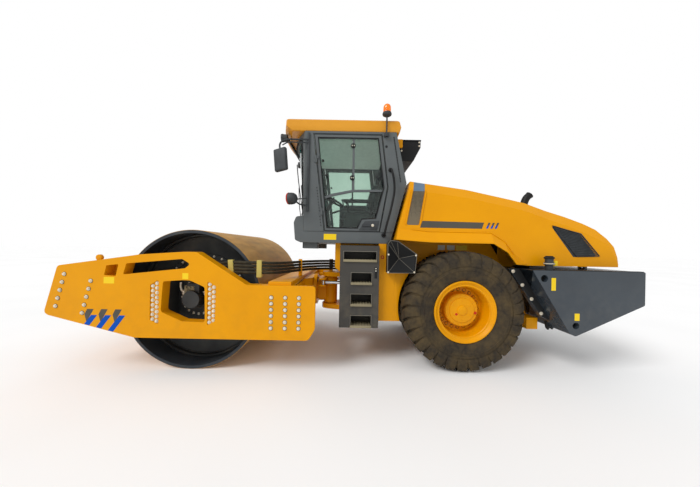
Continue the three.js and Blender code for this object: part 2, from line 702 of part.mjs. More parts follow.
function stepBox() {
  const top = CAB_BOTTOM - 30;
  const pitch = (CAB_BOTTOM - STEP_HEADER - STEP_BOTTOM) / 3;
  const shell = box(STEP_OUTER - STEP_DEPTH, STEP_OUTER, STEP_FRONT, STEP_REAR, STEP_BOTTOM, top);
  const recesses = [
    [STEP_FRONT + 45, STEP_REAR - 35, CAB_BOTTOM - 229, CAB_BOTTOM - 105],
    ...[0, 1, 2].map((k) => {
      const from = STEP_BOTTOM + STEP_SKIRT + pitch * k;
      return [STEP_FRONT + 145, STEP_REAR - 92, from, from + STEP_OPENING];
    }),
  ].map(([y0, y1, z0, z1]) => box(STEP_OUTER - STEP_DEPTH + 20, STEP_OUTER + 1, y0, y1, z0, z1));
  return cut(shell, ...recesses);
}

// The folded air box between steps and hood, over the front of the tyre.
function airBox() {
  const inner = CAB_HALF - 260;
  return join(
    prismX([
      [TANK_REAR - 115, CAB_BOTTOM - 40],
      [TANK_REAR + 10, CAB_BOTTOM - 40],
      [TANK_REAR + 225, CAB_BOTTOM - 150],
      [TANK_REAR + 215, CAB_BOTTOM - 370],
      [TANK_REAR + SEAT_GAP, CAB_BOTTOM - 370],
      [TANK_REAR + SEAT_GAP, CAB_BOTTOM - 100],
      [TANK_REAR - 115, CAB_BOTTOM - 100],
    ], CAB_HALF + SEAT_GAP, CAB_HALF + 160),
    box(inner, CAB_HALF + 1, TANK_REAR + SEAT_GAP, TANK_REAR + 160, CAB_BOTTOM - 300, CAB_BOTTOM - 60),
  );
}

// ---------------------------------------------------------------- cab
const CAB_FRONT = -620; // y of the front posts
const BOW_TOP = 250; // how far the windshield bows out at its top
const BOW_FOOT = 118; // and at its foot
const ROOF_BOW = 130; // how far the roof's front edge bows out
const CAB_BACK_TOP = 585; // y of the back at the roof
const CAB_BACK_WAIST = 731; // at the waist
const CAB_BACK_FOOT = 526; // at the floor

// y of the cab's back at a height.
function cabBack(z) {
  const { lerp } = THREE.MathUtils;
  if (z > WAIST) return lerp(CAB_BACK_WAIST, CAB_BACK_TOP, (z - WAIST) / (CAB_TOP - WAIST));
  return lerp(CAB_BACK_FOOT, CAB_BACK_WAIST, (z - CAB_BOTTOM) / (WAIST - CAB_BOTTOM));
}

// The cab's plan outline at a height, drawn in by an inset on every side.
function cabPlan(z, bow, inset) {
  const half = CAB_HALF - inset;
  const front = CAB_FRONT + inset;
  const back = cabBack(z) - inset;
  const bowed = [-1, -0.75, -0.5, -0.25, 0, 0.25, 0.5, 0.75, 1].map((s) =>
    [s * half, front - bow * (1 - s * s), z]);
  return [...bowed, [half, back, z], [-half, back, z]];
}

function cabHull(inset, bottom, top) {
  const foot = loft([cabPlan(bottom, 0, inset), cabPlan(NOSE_TOP, 0, inset)]);
  const lower = loft([cabPlan(NOSE_TOP, BOW_FOOT, inset), cabPlan(WAIST, BOW_FOOT + 45, inset)]);
  const upper = loft([cabPlan(WAIST, BOW_FOOT + 45, inset), cabPlan(top, BOW_TOP, inset)]);
  return join(foot, lower, upper);
}

const DOOR_OUTLINE = [
  [-505, CAB_TOP - 35],
  [395, CAB_TOP - 35],
  [487, WAIST - 50],
  [383, SILL + 2],
  [-345, SILL + 2],
];
const DOOR_WINDOW = [
  [-445, CAB_TOP - 85, 20],
  [345, CAB_TOP - 85, 20],
  [430, WAIST - 60, 30],
  [330, SILL + 185, 20],
  [145, SILL + 170, 20],
  [90, SILL + 50, 20],
  [-312, SILL + 50, 20],
];

// An outline grown by a distance, corner by corner; a negative distance draws it in.
function grow(points, distance) {
  const count = points.length;
  const turn = Math.sign(THREE.ShapeUtils.area(points.map(([u, v]) => ({ x: u, y: v }))));
  return points.map((point, i) => {
    const p = new THREE.Vector2(point[0], point[1]);
    const before = points[(i + count - 1) % count];
    const after = points[(i + 1) % count];
    const a = new THREE.Vector2(p.x - before[0], p.y - before[1]).normalize();
    const b = new THREE.Vector2(after[0] - p.x, after[1] - p.y).normalize();
    const normal = new THREE.Vector2(a.y + b.y, -a.x - b.x).normalize().multiplyScalar(turn);
    const scale = distance / Math.cos(Math.acos(THREE.MathUtils.clamp(a.dot(b), -1, 1)) / 2);
    return [p.x + normal.x * scale, p.y + normal.y * scale, point[2]];
  });
}

// The door's hinge line runs along the front post, just outside its face.
const HINGE_X = CAB_HALF + 14;
const HINGE_RADIUS = 12;
const HINGE_LEAN = (DOOR_OUTLINE[0][0] - DOOR_OUTLINE[4][0]) / (CAB_TOP - 35 - SILL - 2);
function hingePoint(z) {
  return [HINGE_X, DOOR_OUTLINE[4][0] - 4 + (z - SILL - 2) * HINGE_LEAN, z];
}
const HINGE_HEIGHTS = [SILL + 260, WAIST + 300];
function hingeKnuckles(from, to) {
  return HINGE_HEIGHTS.map((z) =>
    rod(hingePoint(z + from), hingePoint(z + to), HINGE_RADIUS, SMALL_ROUND));
}

function cabFrame() {
  const shell = cut(
    cabHull(0, SILL + SEAT_GAP, CAB_TOP), cabHull(CAB_WALL, SILL - 50, CAB_TOP + 50));
  const doorway = prismX(grow(DOOR_OUTLINE, RUN_GAP), CAB_HALF - CAB_WALL - 1, CAB_HALF + 1);
  const screen = prismY(SCREEN_OUTLINE, CAB_FRONT - BOW_TOP - 60, CAB_FRONT + 90);
  const rearOpening = prismY(REAR_WINDOW_OUTLINE, CAB_BACK_FOOT - 90, CAB_BACK_WAIST + 20);
  const frame = cut(shell, doorway, mirrored(doorway), screen, rearOpening);
  const knuckles = hingeKnuckles(-45, -0.5).map((knuckle, i) => {
    const [, y, z] = hingePoint(HINGE_HEIGHTS[i] - 23);
    return join(knuckle, box(CAB_HALF - 10, HINGE_X, y - 34, y, z - 20, z + 18));
  });
  return join(frame, ...knuckles, ...knuckles.map(mirrored));
}

const SCREEN_HALF = CAB_HALF - 110; // half width of the windshield
const SCREEN_OUTLINE = [
  [-SCREEN_HALF, NOSE_TOP + 50, 30],
  [SCREEN_HALF, NOSE_TOP + 50, 30],
  [SCREEN_HALF, CAB_TOP - 60, 30],
  [-SCREEN_HALF, CAB_TOP - 60, 30],
];
const REAR_WINDOW_HALF = CAB_HALF - 240;
const REAR_WINDOW_OUTLINE = [
  [-REAR_WINDOW_HALF, WAIST + 90, 30],
  [REAR_WINDOW_HALF, WAIST + 90, 30],
  [REAR_WINDOW_HALF, CAB_TOP - 80, 30],
  [-REAR_WINDOW_HALF, CAB_TOP - 80, 30],
];
function glassSheet(outlineXZ, y0, y1) {
  const sheet = cut(
    cabHull(CAB_WALL / 2 - GLASS / 2, NOSE_TOP - 100, CAB_TOP - 10),
    cabHull(CAB_WALL / 2 + GLASS / 2, NOSE_TOP - 150, CAB_TOP + 10));
  return sheet.intersect(prismY(grow(outlineXZ, -SEAT_GAP), y0, y1));
}
function windshield() {
  return glassSheet(SCREEN_OUTLINE, CAB_FRONT - BOW_TOP - 60, CAB_FRONT + 200);
}
function rearWindow() {
  return glassSheet(REAR_WINDOW_OUTLINE, CAB_BACK_TOP - 90, CAB_BACK_WAIST + 20);
}

// The cab's floor pan with its sills and the rounded nose under the windshield.
function cabFloor() {
  const front = CAB_FRONT;
  const side = [
    [CAB_BACK_FOOT, CAB_BOTTOM],
    [cabBack(SILL), SILL],
    [front - SEAT_GAP, SILL],
    [front - SEAT_GAP, NOSE_TOP - SEAT_GAP, 4],
    [front - 100, NOSE_TOP - 12, 30],
    [front - 132, NOSE_TOP - 90, 60],
    [front - 112, CAB_BOTTOM + 30, 30],
    [front - 40, CAB_BOTTOM],
  ];
  const tub = prismX(side, -CAB_HALF + 6, CAB_HALF - 6);
  const hollow = box(
    -CAB_HALF + 80, CAB_HALF - 80, CAB_FRONT + 80, CAB_BACK_FOOT - 80, CAB_BOTTOM + 60, SILL + 10);
  const lampX = CAB_HALF - 160;
  const lamps = [-1, 1].map((s) =>
    box(s * lampX - 90, s * lampX + 90, front - 10, front + 180, CAB_BOTTOM - 80, CAB_BOTTOM + 20));
  return join(cut(tub, hollow), ...lamps);
}

function cabRoof() {
  const base = CAB_TOP + SEAT_GAP;
  // Height over the cab, half width, front and back of each level.
  const levels = [
    [0, CAB_HALF - 10, CAB_FRONT - 170, CAB_BACK_TOP + 45],
    [65, CAB_HALF + 10, CAB_FRONT - 252, CAB_BACK_TOP + 62],
    [ROOF_THICKNESS - 20, CAB_HALF + 6, CAB_FRONT - 248, CAB_BACK_TOP + 40],
    [ROOF_THICKNESS - 4, CAB_HALF - 20, CAB_FRONT - 225, CAB_BACK_TOP + 15],
    [ROOF_THICKNESS + 8, CAB_HALF - 200, CAB_FRONT - 100, CAB_BACK_TOP - 160],
  ];
  const steps = [-1, -0.75, -0.5, -0.25, 0, 0.25, 0.5, 0.75, 1];
  return loft(levels.map(([rise, half, front, back]) => [
    ...steps.map((s) => [s * half, front - ROOF_BOW * (1 - s * s), base + rise]),
    [half, back, base + rise],
    [-half, back, base + rise],
  ]));
}

function door() {
  const panel = prismX(DOOR_OUTLINE, CAB_HALF - DOOR_THICKNESS, CAB_HALF);
  const opening = prismX(DOOR_WINDOW, CAB_HALF - DOOR_THICKNESS - 1, CAB_HALF + 1);
  const mullion = prismX([
    [8, CAB_TOP - 60], [38, CAB_TOP - 60], [44, WAIST - 95], [14, WAIST - 95],
  ], CAB_HALF - 40, CAB_HALF - 10);
  const rail = prismX([
    [-440, WAIST - 215], [-250, WAIST - 150], [30, WAIST - 92], [460, WAIST - 85],
    [460, WAIST - 115], [30, WAIST - 122], [-240, WAIST - 182], [-430, WAIST - 247],
  ], CAB_HALF - 40, CAB_HALF - 10);
  const bars = join(mullion, rail).intersect(panel);
  const knuckles = hingeKnuckles(0, 45).map((knuckle, i) => {
    const [, y, z] = hingePoint(HINGE_HEIGHTS[i] + 23);
    return join(knuckle, box(CAB_HALF - 10, HINGE_X, y, y + 34, z - 18, z + 20));
  });
  return join(cut(panel, opening), bars, ...knuckles);
}

function doorGlass() {
  const pane = prismX(grow(DOOR_WINDOW, -SEAT_GAP), CAB_HALF - DOOR_THICKNESS + 1,
    CAB_HALF - DOOR_THICKNESS + 1 + GLASS);
  return pane;
}

function seat() {
  const base = CAB_BOTTOM + 60 + SEAT_GAP;
  const pedestal = box(-180, 180, -60, 300, base, base + 330);
  const cushion = prismX([
    [-190, base + 330, 30], [330, base + 330, 20], [330, base + 440, 20], [-190, base + 450, 40],
  ], -250, 250);
  const back = prismX([
    [230, base + 400], [330, base + 400], [470, base + 1020, 40], [370, base + 1040, 40],
  ], -240, 240);
  const arm = join(
    box(251, 330, -120, 330, base + 560, base + 620),
    box(240, 300, 250, 330, base + 380, base + 565));
  return join(pedestal, cushion, back, arm, mirrored(arm));
}

function steeringConsole() {
  const base = CAB_BOTTOM + 60 + SEAT_GAP;
  const foot = prismX([
    [-520, base], [-330, base], [-350, base + 420, 20], [-470, base + 480, 20],
  ], -170, 170);
  const column = rod([0, -410, base + 430], [0, -300, base + 640], 32, SMALL_ROUND);
  const wheelProfile = [];
  for (let k = 0; k <= 6; k++) {
    const angle = (2 * Math.PI * k) / 6;
    wheelProfile.push(new THREE.Vector2(190 + 15 * Math.cos(angle), 15 * Math.sin(angle)));
  }
  const ring = new THREE.LatheGeometry(wheelProfile, 20);
  const lean = new THREE.Quaternion().setFromUnitVectors(
    Y, new THREE.Vector3(0, 110, 210).normalize());
  ring.applyQuaternion(lean);
  ring.translate(0, -300, base + 640);
  const spoke = new THREE.BoxGeometry(390, 12, 40);
  spoke.applyQuaternion(lean);
  spoke.translate(0, -300, base + 640);
  return join(foot, column, solid(ring), solid(spoke));
}

function condenserBox() {
  const half = REAR_WINDOW_HALF;
  const top = CAB_TOP - 10;
  const body = prismX([
    [CAB_BACK_TOP + 95, top - 285, 20],
    [CAB_BACK_TOP + 95, top, 10],
    [CAB_BACK_TOP + 385, top, 10],
    [CAB_BACK_TOP + 385, top - 90, 20],
    [CAB_BACK_TOP + 285, top - 285, 20],
  ], -half, half);
  const bracket = prismX([
    [cabBack(top - 60) + SEAT_GAP, top - 60],
    [cabBack(top - 20) + SEAT_GAP, top - 20],
    [CAB_BACK_TOP + 96, top - 20],
    [CAB_BACK_TOP + 96, top - 60],
  ], half - 180, half - 100);
  return join(body, bracket, mirrored(bracket));
}

function beacon() {
  const x = CAB_HALF + 38;
  const y = 450;
  const foot = box(CAB_HALF + SEAT_GAP, x + 12, y - 30, y + 30, CAB_TOP - 70, CAB_TOP - 20);
  const pole = rod([x, y, CAB_TOP - 60], [x, y, CAB_TOP + 205], 10, 12);
  const base = rod([x, y, CAB_TOP + 200], [x, y, CAB_TOP + 245], 62, 24);
  const dome = new THREE.SphereGeometry(48, 16, 8);
  dome.scale(1, 1, 1.9);
  dome.translate(x, y, CAB_TOP + 262);
  return join(foot, pole, base, solid(dome));
}

// Mirror, lower lamp and their arms, joined by the strip that is screwed to the front post.
function mirrorSet() {
  const x = CAB_HALF + 20;
  const post = CAB_FRONT + 50;
  const strip = box(CAB_HALF + SEAT_GAP, x, post - 15, post + 15, SILL + 250, CAB_TOP - 30);
  const upperArm = pipe([
    [x - 6, post, CAB_TOP - 120], [x + 60, post - 200, CAB_TOP - 150],
    [x + 120, post - 330, CAB_TOP - 200], [x + 130, post - 345, CAB_TOP - 330],
  ], 12, 10);
  const mirror = box(x + 60, x + 240, post - 350, post - 300, CAB_TOP - 600, CAB_TOP - 310);
  const lowerArm = pipe([
    [x - 6, post, SILL + 330], [x + 70, post - 110, SILL + 350], [x + 110, post - 160, SILL + 390],
  ], 11, 6);
  const round = rod(
    [x + 110, post - 215, SILL + 405], [x + 110, post - 150, SILL + 405], 78, 24);
  return join(strip, upperArm, mirror, lowerArm, round);
}

// A pair of work lamps under the roof's front edge, on one bar.
function roofLamps() {
  const y = CAB_FRONT - BOW_TOP - 32;
  const lampX = CAB_HALF - 200;
  const bar = box(-lampX - 40, lampX + 40, y - 10, y + 10, CAB_TOP - 40, CAB_TOP);
  const lamps = [-lampX, lampX].map((x) =>
    rod([x, y - 75, CAB_TOP - 22], [x, y + 5, CAB_TOP - 22], 52, 20));
  return join(bar, ...lamps);
}

function grabRail() {
  const x = CAB_HALF + 75;
  const upper = [CAB_HALF, 515, WAIST + 170];
  const lower = [CAB_HALF - 6, 440, SILL - 40];
  const rail = pipe([
    [upper[0] + 6, upper[1], upper[2]], [x - 20, 518, WAIST + 165], [x, 535, WAIST + 110],
    [x, 560, WAIST - 80], [x, 540, WAIST - 250], [x, 460, SILL + 60],
    [x - 20, 442, SILL - 25], [lower[0] + 6, lower[1], lower[2]],
  ], 14, 16, 6);
  const feet = [upper, lower].map(([from, y, z]) =>
    rod([from + SEAT_GAP, y, z], [from + 10, y, z], 30, SMALL_ROUND));
  return join(rail, ...feet);
}

// ---------------------------------------------------------------- hood
const HOOD_LIP = 980; // half width of the flared lip
// y of a place on the hood's tail, from 0 over the tyres' rear side to 1 at the hood's end.
function hoodTail(share) {
  return THREE.MathUtils.lerp(TYRE_REAR, REAR_END - HOOD_TAIL, share);
}
// Stations along the hood: y, height of the top edge over the deck, half width of the top edge,
// height of the lip over the deck, and how far the lip stands out.
const HOOD_STATIONS = [
  [CAB_BACK_WAIST + 12, 807, 800, 30, 1],
  [AXLE_Y - 430, 777, 800, 3, 1],
  [AXLE_Y + 83, 709, 800, 0, 1],
  [AXLE_Y + 371, 650, 800, 0, 1],
  [TYRE_REAR - 197, 612, 800, -111, 1],
  [TYRE_REAR - 84, 590, 800, -255, 0.9],
  [hoodTail(0.083), 546, 805, -270, 0],
  [hoodTail(0.287), 452, 810, -270, 0],
  [hoodTail(0.475), 378, 820, -270, 0],
  [hoodTail(0.661), 289, 835, -270, 0],
  [hoodTail(0.786), 212, 845, -270, 0],
  [hoodTail(0.897), 96, 855, -270, 0],
  [hoodTail(0.967), -10, 862, -270, 0],
  [hoodTail(1), -140, 866, -270, 0],
];
const HOOD_FRONT_LEAN = (CAB_BACK_WAIST - CAB_BACK_FOOT) / CAB_WAIST;

// One cross section of the hood, drawn in by an inset, with its foot dropped where it is open.
function hoodSection(station, inset, drop) {
  const [y, rise, topHalf, lip, flare] = station;
  const top = DECK + rise;
  const foot = DECK + lip;
  const fold = foot + 20 + 125 * flare;
  const crease = Math.max(top - 125, fold + 12 + inset / 2);
  const first = station === HOOD_STATIONS[0];
  const last = station === HOOD_STATIONS[HOOD_STATIONS.length - 1];
  const lipHalf = HOOD_HALF + (HOOD_LIP - HOOD_HALF) * flare;
  const right = [
    [lipHalf - inset, foot - drop],
    [lipHalf - inset, foot + 15],
    [HOOD_HALF + 12 * flare - inset, fold],
    [HOOD_HALF - inset, crease - inset / 3],
    [topHalf - inset, top - inset],
    [topHalf / 2, top + 8 - inset],
  ];
  const loop = [...right, ...right.slice().reverse().map(([x, z]) => [-x, z])];
  return loop.map(([x, z]) => {
    const lean = first ? (z - top) * HOOD_FRONT_LEAN : 0;
    const shift = first ? inset : last ? -inset : 0;
    return [x, y + lean + shift + (first ? HOOD_CAB_GAP - 12 : 0), z];
  });
}
function hoodHull(inset, drop) {
  return loft(HOOD_STATIONS.map((station) => hoodSection(station, inset, drop)));
}

const HOOD_REAR = HOOD_STATIONS[HOOD_STATIONS.length - 1][0];
const HOOD_FOOT = DECK + HOOD_STATIONS[HOOD_STATIONS.length - 1][3];
const HOOD_HINGE_X = 330;
const HOOD_KNUCKLE = 18;
const EXHAUST_RADIUS = 60;
const EXHAUST_X = 380;
function hoodKnuckle(from, to) {
  return rod(
    [HOOD_HINGE_X + from, HOOD_HINGE_Y, HOOD_HINGE_Z],
    [HOOD_HINGE_X + to, HOOD_HINGE_Y, HOOD_HINGE_Z], HOOD_KNUCKLE, 16);
}

const BAND = [
  [CAB_BACK_WAIST + 114, DECK + 900],
  [CAB_BACK_WAIST + 259, DECK + 900],
  [CAB_BACK_WAIST + 149, DECK + 225, 20],
  [CAB_BACK_WAIST - 9, DECK + 225, 20],
];
const GRILLE = [
  [hoodTail(0.304), DECK + 266, 20],
  [hoodTail(0.596), DECK + 163, 20],
  [hoodTail(0.787), DECK - 140, 20],
  [hoodTail(0.545), DECK - 150, 20],
];
// A panel let into the hood's skin from its outer side, and the recess that holds it.
function hoodPanel(shape, from, to) {
  const skin = cut(hoodHull(1, 0), hoodHull(PANEL_DEPTH, 60));
  return skin.intersect(prismX(shape, from, to));
}
function hoodRecess(shape, from, to) {
  const skin = cut(hoodHull(-5, 0), hoodHull(PANEL_DEPTH + SEAT_GAP, 60));
  return skin.intersect(prismX(grow(shape, SEAT_GAP), from, to));
}
function hoodShell() {
  const shell = cut(hoodHull(0, 0), hoodHull(HOOD_SKIN, 60));
  const band = hoodRecess(BAND, -1200, 1200);
  const grille = hoodRecess(GRILLE, 820, 1200);
  const stub = exhaust(EXHAUST_RADIUS + SEAT_GAP * 2);
  const hinge = join(
    prismX([
      [HOOD_REAR - 10, HOOD_FOOT + 2],
      [HOOD_HINGE_Y, HOOD_HINGE_Z - HOOD_KNUCKLE],
      [HOOD_HINGE_Y + HOOD_KNUCKLE - 4, HOOD_HINGE_Z],
      [HOOD_REAR - 10, HOOD_FOOT + 80],
    ], HOOD_HINGE_X - 30, HOOD_HINGE_X + 30),
    hoodKnuckle(-30, 30));
  return join(cut(shell, band, grille, mirrored(grille), stub), hinge, mirrored(hinge));
}

function exhaust(radius = EXHAUST_RADIUS) {
  const y = hoodTail(0.306);
  return pipe([
    [EXHAUST_X, y - 30, DECK + 330], [EXHAUST_X, y, DECK + 520], [EXHAUST_X, y + 35, DECK + 640],
    [EXHAUST_X, y + 95, DECK + 740], [EXHAUST_X, y + 165, DECK + 790],
  ], radius, 8, 12);
}

// ---------------------------------------------------------------- counterweight
function counterweight() {
  const body = prismX([
    [TYRE_REAR - 8, WEIGHT_TOP],
    [REAR_END, WEIGHT_TOP, 15],
    [REAR_END, WEIGHT_TOP - 398, 20],
    [TYRE_REAR + 516, WEIGHT_TOP - 778, 35],
    [TYRE_REAR + 446, WEIGHT_TOP - 750, 20],
  ], -WEIGHT_HALF, WEIGHT_HALF);
  const flange = prismX([
    [TYRE_REAR - 144, WEIGHT_TOP - 2],
    [TYRE_REAR + 116, WEIGHT_TOP - 2],
    [TYRE_REAR + 516, WEIGHT_TOP - 590],
    [TYRE_REAR + 436, WEIGHT_TOP - 680],
    [TYRE_REAR + 286, WEIGHT_TOP - 610, 20],
  ], 820, 900);
  const pocket = box(
    -RAIL_OUTER - SEAT_GAP, RAIL_OUTER + SEAT_GAP, AXLE_Y, RAIL_REAR + SEAT_GAP, 0, WEIGHT_TOP + 10);
  const hole = rod(
    [WEIGHT_HALF - 80, TYRE_REAR + 133, WEIGHT_TOP - 96],
    [WEIGHT_HALF + 10, TYRE_REAR + 133, WEIGHT_TOP - 96], 42, 24);
  const slot = prismX([
    [TYRE_REAR + 476, WEIGHT_TOP - 690, 37],
    [TYRE_REAR + 556, WEIGHT_TOP - 690, 37],
    [TYRE_REAR + 556, WEIGHT_TOP - 614, 37],
    [TYRE_REAR + 476, WEIGHT_TOP - 614, 37],
  ], WEIGHT_HALF - 80, WEIGHT_HALF + 10);
  const lug = join(...[[-62, -30.5], [30.5, 62]].map(([from, to]) => join(
    hoodKnuckle(from, to),
    box(
      HOOD_HINGE_X + from, HOOD_HINGE_X + to, HOOD_HINGE_Y - HOOD_KNUCKLE, HOOD_HINGE_Y + HOOD_KNUCKLE,
      WEIGHT_TOP - 1, HOOD_HINGE_Z))));
  return join(
    cut(join(body, flange, mirrored(flange)), pocket, hole, mirrored(hole), slot, mirrored(slot)),
    lug, mirrored(lug));
}

function fillerNeck() {
  const x = WEIGHT_HALF - 150;
  const y = TYRE_REAR + 296;
  const from = WEIGHT_TOP + SEAT_GAP;
  return join(
    rod([x, y, from], [x, y, from + 60], 42, 24),
    rod([x, y, from + 60], [x, y, from + 90], 55, 24),
    rod([x, y, from + 90], [x, y, from + 160], 46, 24));
}

// ---------------------------------------------------------------- hoses
// The drum's hoses leave the left carrier's block, run between drum and side plate, and cross
// the pivot beside the guide on its pin. They lie one above the other.
const BLOCK_TOP = DRUM_RADIUS + 190;
const HOSE_JOINT = [420, -700]; // x and y of the clamp on the rear crossbeam, where the runs meet
const HOSE_SLANT = 0.45; // the hoses' slope in plan where the runs meet
function hoseRun(points, steps) {
  return Array.from({ length: HOSE_COUNT }, (_, k) =>
    pipe(points(k), HOSE_RADIUS, steps, 6));
}

function drumHoses() {
  const x = HALF_WIDTH - SIDE_BOX - HOSE_RADIUS - 4;
  const hoses = hoseRun((k) => {
    const z = HOSE_Z + HOSE_PITCH * k;
    const startX = DRUM_HALF - 40 - HOSE_PITCH * k;
    const startY = DRUM_Y - 20;
    return [
      [startX, startY, BLOCK_TOP + 2 * SEAT_GAP], [startX, startY, BLOCK_TOP + 20],
      [startX, startY + 3, BLOCK_TOP + 45], [startX + 25, DRUM_Y + 120, z - 45],
      [x - 6, DRUM_Y + 310, z - 10], [x, HOSE_CLAMPS[0], z + 14],
      [x, (HOSE_CLAMPS[0] + HOSE_CLAMPS[1]) / 2, z + 14], [x, HOSE_CLAMPS[1], z + 14],
      [x - 60, HOSE_CLAMPS[1] + 130, z + 8],
      [HOSE_JOINT[0] + 200, HOSE_JOINT[1] - 200 * HOSE_SLANT, z], [HOSE_JOINT[0], HOSE_JOINT[1], z],
    ];
  }, 20);
  const top = HOSE_Z + HOSE_PITCH * (HOSE_COUNT - 1) + 40;
  const straps = HOSE_CLAMPS.map((y, i) =>
    box(x - HOSE_RADIUS - 1, HALF_WIDTH - SIDE_BOX - SEAT_GAP, y - 14, y + 14, i ? 1034 : 1160, top));
  const stand = box(
    HOSE_JOINT[0] + 20, HOSE_JOINT[0] + 44, HOSE_JOINT[1] - 40, HOSE_JOINT[1] + 10,
    YOKE_TOP + 40 + SEAT_GAP, top);
  return join(...hoses, ...straps, stand);
}

function centreHoses() {
  const x = GUIDE_X + HOSE_RADIUS;
  const hoses = hoseRun((k) => {
    const z = HOSE_Z + HOSE_PITCH * k;
    return [
      [HOSE_JOINT[0] - 2 * SEAT_GAP, HOSE_JOINT[1] + 2 * SEAT_GAP * HOSE_SLANT, z],
      [HOSE_JOINT[0] - 100, HOSE_JOINT[1] + 100 * HOSE_SLANT, z],
      [250, PIVOT_Y - 300, z], [x + 30, PIVOT_Y - 120, z], [x, PIVOT_Y, z],
      [x + 40, PIVOT_Y + 90, z], [220, PIVOT_Y + 140, z], [300, -110, z], [300, -80, z],
      [300, -60 - 2 * SEAT_GAP, z],
    ];
  }, 14);
  const tie = box(
    x + HOSE_RADIUS - 3, x + HOSE_RADIUS + 5, PIVOT_Y - 15, PIVOT_Y + 15,
    HOSE_Z - 12, HOSE_Z + HOSE_PITCH * (HOSE_COUNT - 1) + 12);
  return join(...hoses, tie);
}

// ---------------------------------------------------------------- the assembly
addPair("side_plate", sidePlate(), yellow);
add("front_crossbeam", frontCrossbeam(), yellow);
add("rear_crossbeam", rearCrossbeam(), yellow);
addPair("drum_carrier", drumCarrier(), blackSteel);
add("drum_shell", drumShell(), drumSteel);
addPair("drum_head", drumHead(), drumSteel);
add("articulation_link", articulationLink(), yellow);
addPair("steering_barrel", steeringBarrel(), blackSteel);
addPair("steering_rod", steeringRod(), chrome);
add("chassis", chassis(), yellow);
add("rear_axle", rearAxle(), yellow);
add("engine_block", engineBlock(), blackSteel);
addPair("tyre", tyre(), rubber);
addPair("rim", rim(), yellow);
addPair("side_tank", sideTank(), yellow);
addPair("step_box", stepBox(), greyPaint);
addPair("air_box", airBox(), greyPaint);
add("cab_floor", cabFloor(), greyPaint);
add("cab_frame", cabFrame(), greyPaint);
add("cab_roof", cabRoof(), yellow);
add("windshield", windshield(), tintedGlass);
add("rear_window", rearWindow(), tintedGlass);
addPair("door", door(), greyPaint);
addPair("door_glass", doorGlass(), tintedGlass);
add("seat", seat(), seatCloth);
add("steering_console", steeringConsole(), moulded);
add("condenser_box", condenserBox(), blackSteel);
add("beacon", beacon(), amber);
addPair("mirror_set", mirrorSet(), moulded);
add("roof_lamps", roofLamps(), moulded);
addPair("grab_rail", grabRail(), blackSteel);
add("hood_shell", hoodShell(), yellow);
add("hood_band", hoodPanel(BAND, -1200, 1200), darkPaint);
addPair("hood_grille", hoodPanel(GRILLE, 820, 1200), moulded);
add("exhaust", exhaust(), blackSteel);
add("counterweight", counterweight(), darkPaint);
add("filler_neck", fillerNeck(), moulded);
add("drum_hoses", drumHoses(), hoseRubber);
add("centre_hoses", centreHoses(), hoseRubber);

export default model;
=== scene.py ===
# %% [markdown]
# # An articulated single-drum road roller
# This lesson dresses a ready frame. The frame is a set of plain solids, one for each part of the
# machine, already at its place and size, and joined where the machine moves. We keep every place,
# give each plain solid rounded edges and a real finish, and model by hand what a plain solid
# cannot show: tread, bolts, seals, hoses, lamps and the padded seat.
# Everything is in metres. +Z is up, the machine faces -Y and its left side is +X.

# %% Load the frame
import json
import math

import bpy
from mathutils import Matrix, Vector


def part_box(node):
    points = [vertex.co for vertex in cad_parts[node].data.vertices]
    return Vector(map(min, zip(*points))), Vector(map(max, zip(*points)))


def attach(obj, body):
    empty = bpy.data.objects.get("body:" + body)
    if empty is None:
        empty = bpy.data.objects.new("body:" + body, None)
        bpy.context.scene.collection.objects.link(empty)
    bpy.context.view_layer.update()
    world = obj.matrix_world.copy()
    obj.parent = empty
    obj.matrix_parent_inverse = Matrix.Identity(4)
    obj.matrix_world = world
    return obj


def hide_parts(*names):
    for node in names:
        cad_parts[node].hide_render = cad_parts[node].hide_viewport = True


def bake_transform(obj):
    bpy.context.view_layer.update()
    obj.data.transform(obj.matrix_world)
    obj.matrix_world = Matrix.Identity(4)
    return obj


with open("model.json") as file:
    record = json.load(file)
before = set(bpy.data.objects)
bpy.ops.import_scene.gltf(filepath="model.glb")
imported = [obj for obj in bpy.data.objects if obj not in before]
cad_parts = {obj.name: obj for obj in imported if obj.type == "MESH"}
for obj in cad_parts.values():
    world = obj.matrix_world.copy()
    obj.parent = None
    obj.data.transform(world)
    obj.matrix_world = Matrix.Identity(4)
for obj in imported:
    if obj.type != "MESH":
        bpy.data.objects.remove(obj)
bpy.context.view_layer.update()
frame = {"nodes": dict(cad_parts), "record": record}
NODES = frame["nodes"]
RECORD = frame["record"]
BODY_OF = {
    node: body for body, members in RECORD["behaviour"]["bodies"].items() for node in members
}

# %% [markdown]
# ## Small helpers for modelling
# An operator acts on all that is selected, so each step starts from an empty selection. A shape
# can be typed in as a list of faces, or drawn as by hand. We draw: one vertex is extruded from
# point to point, the outline is filled, and the face is pulled out to a plate or spun to a turned
# part. Each finished piece has its place in its mesh, with its object at the origin.

# %% Selection, transforms and edit mode
def deselect():
    if bpy.context.object and bpy.context.object.mode != "OBJECT":
        bpy.ops.object.mode_set(mode="OBJECT")
    bpy.ops.object.select_all(action="DESELECT")


def pick(piece):
    deselect()
    piece.select_set(True)
    bpy.context.view_layer.objects.active = piece
    return piece


def edit_all(piece, mode="VERT"):
    pick(piece)
    bpy.ops.object.mode_set(mode="EDIT")
    bpy.ops.mesh.select_mode(type=mode)
    bpy.ops.mesh.select_all(action="SELECT")


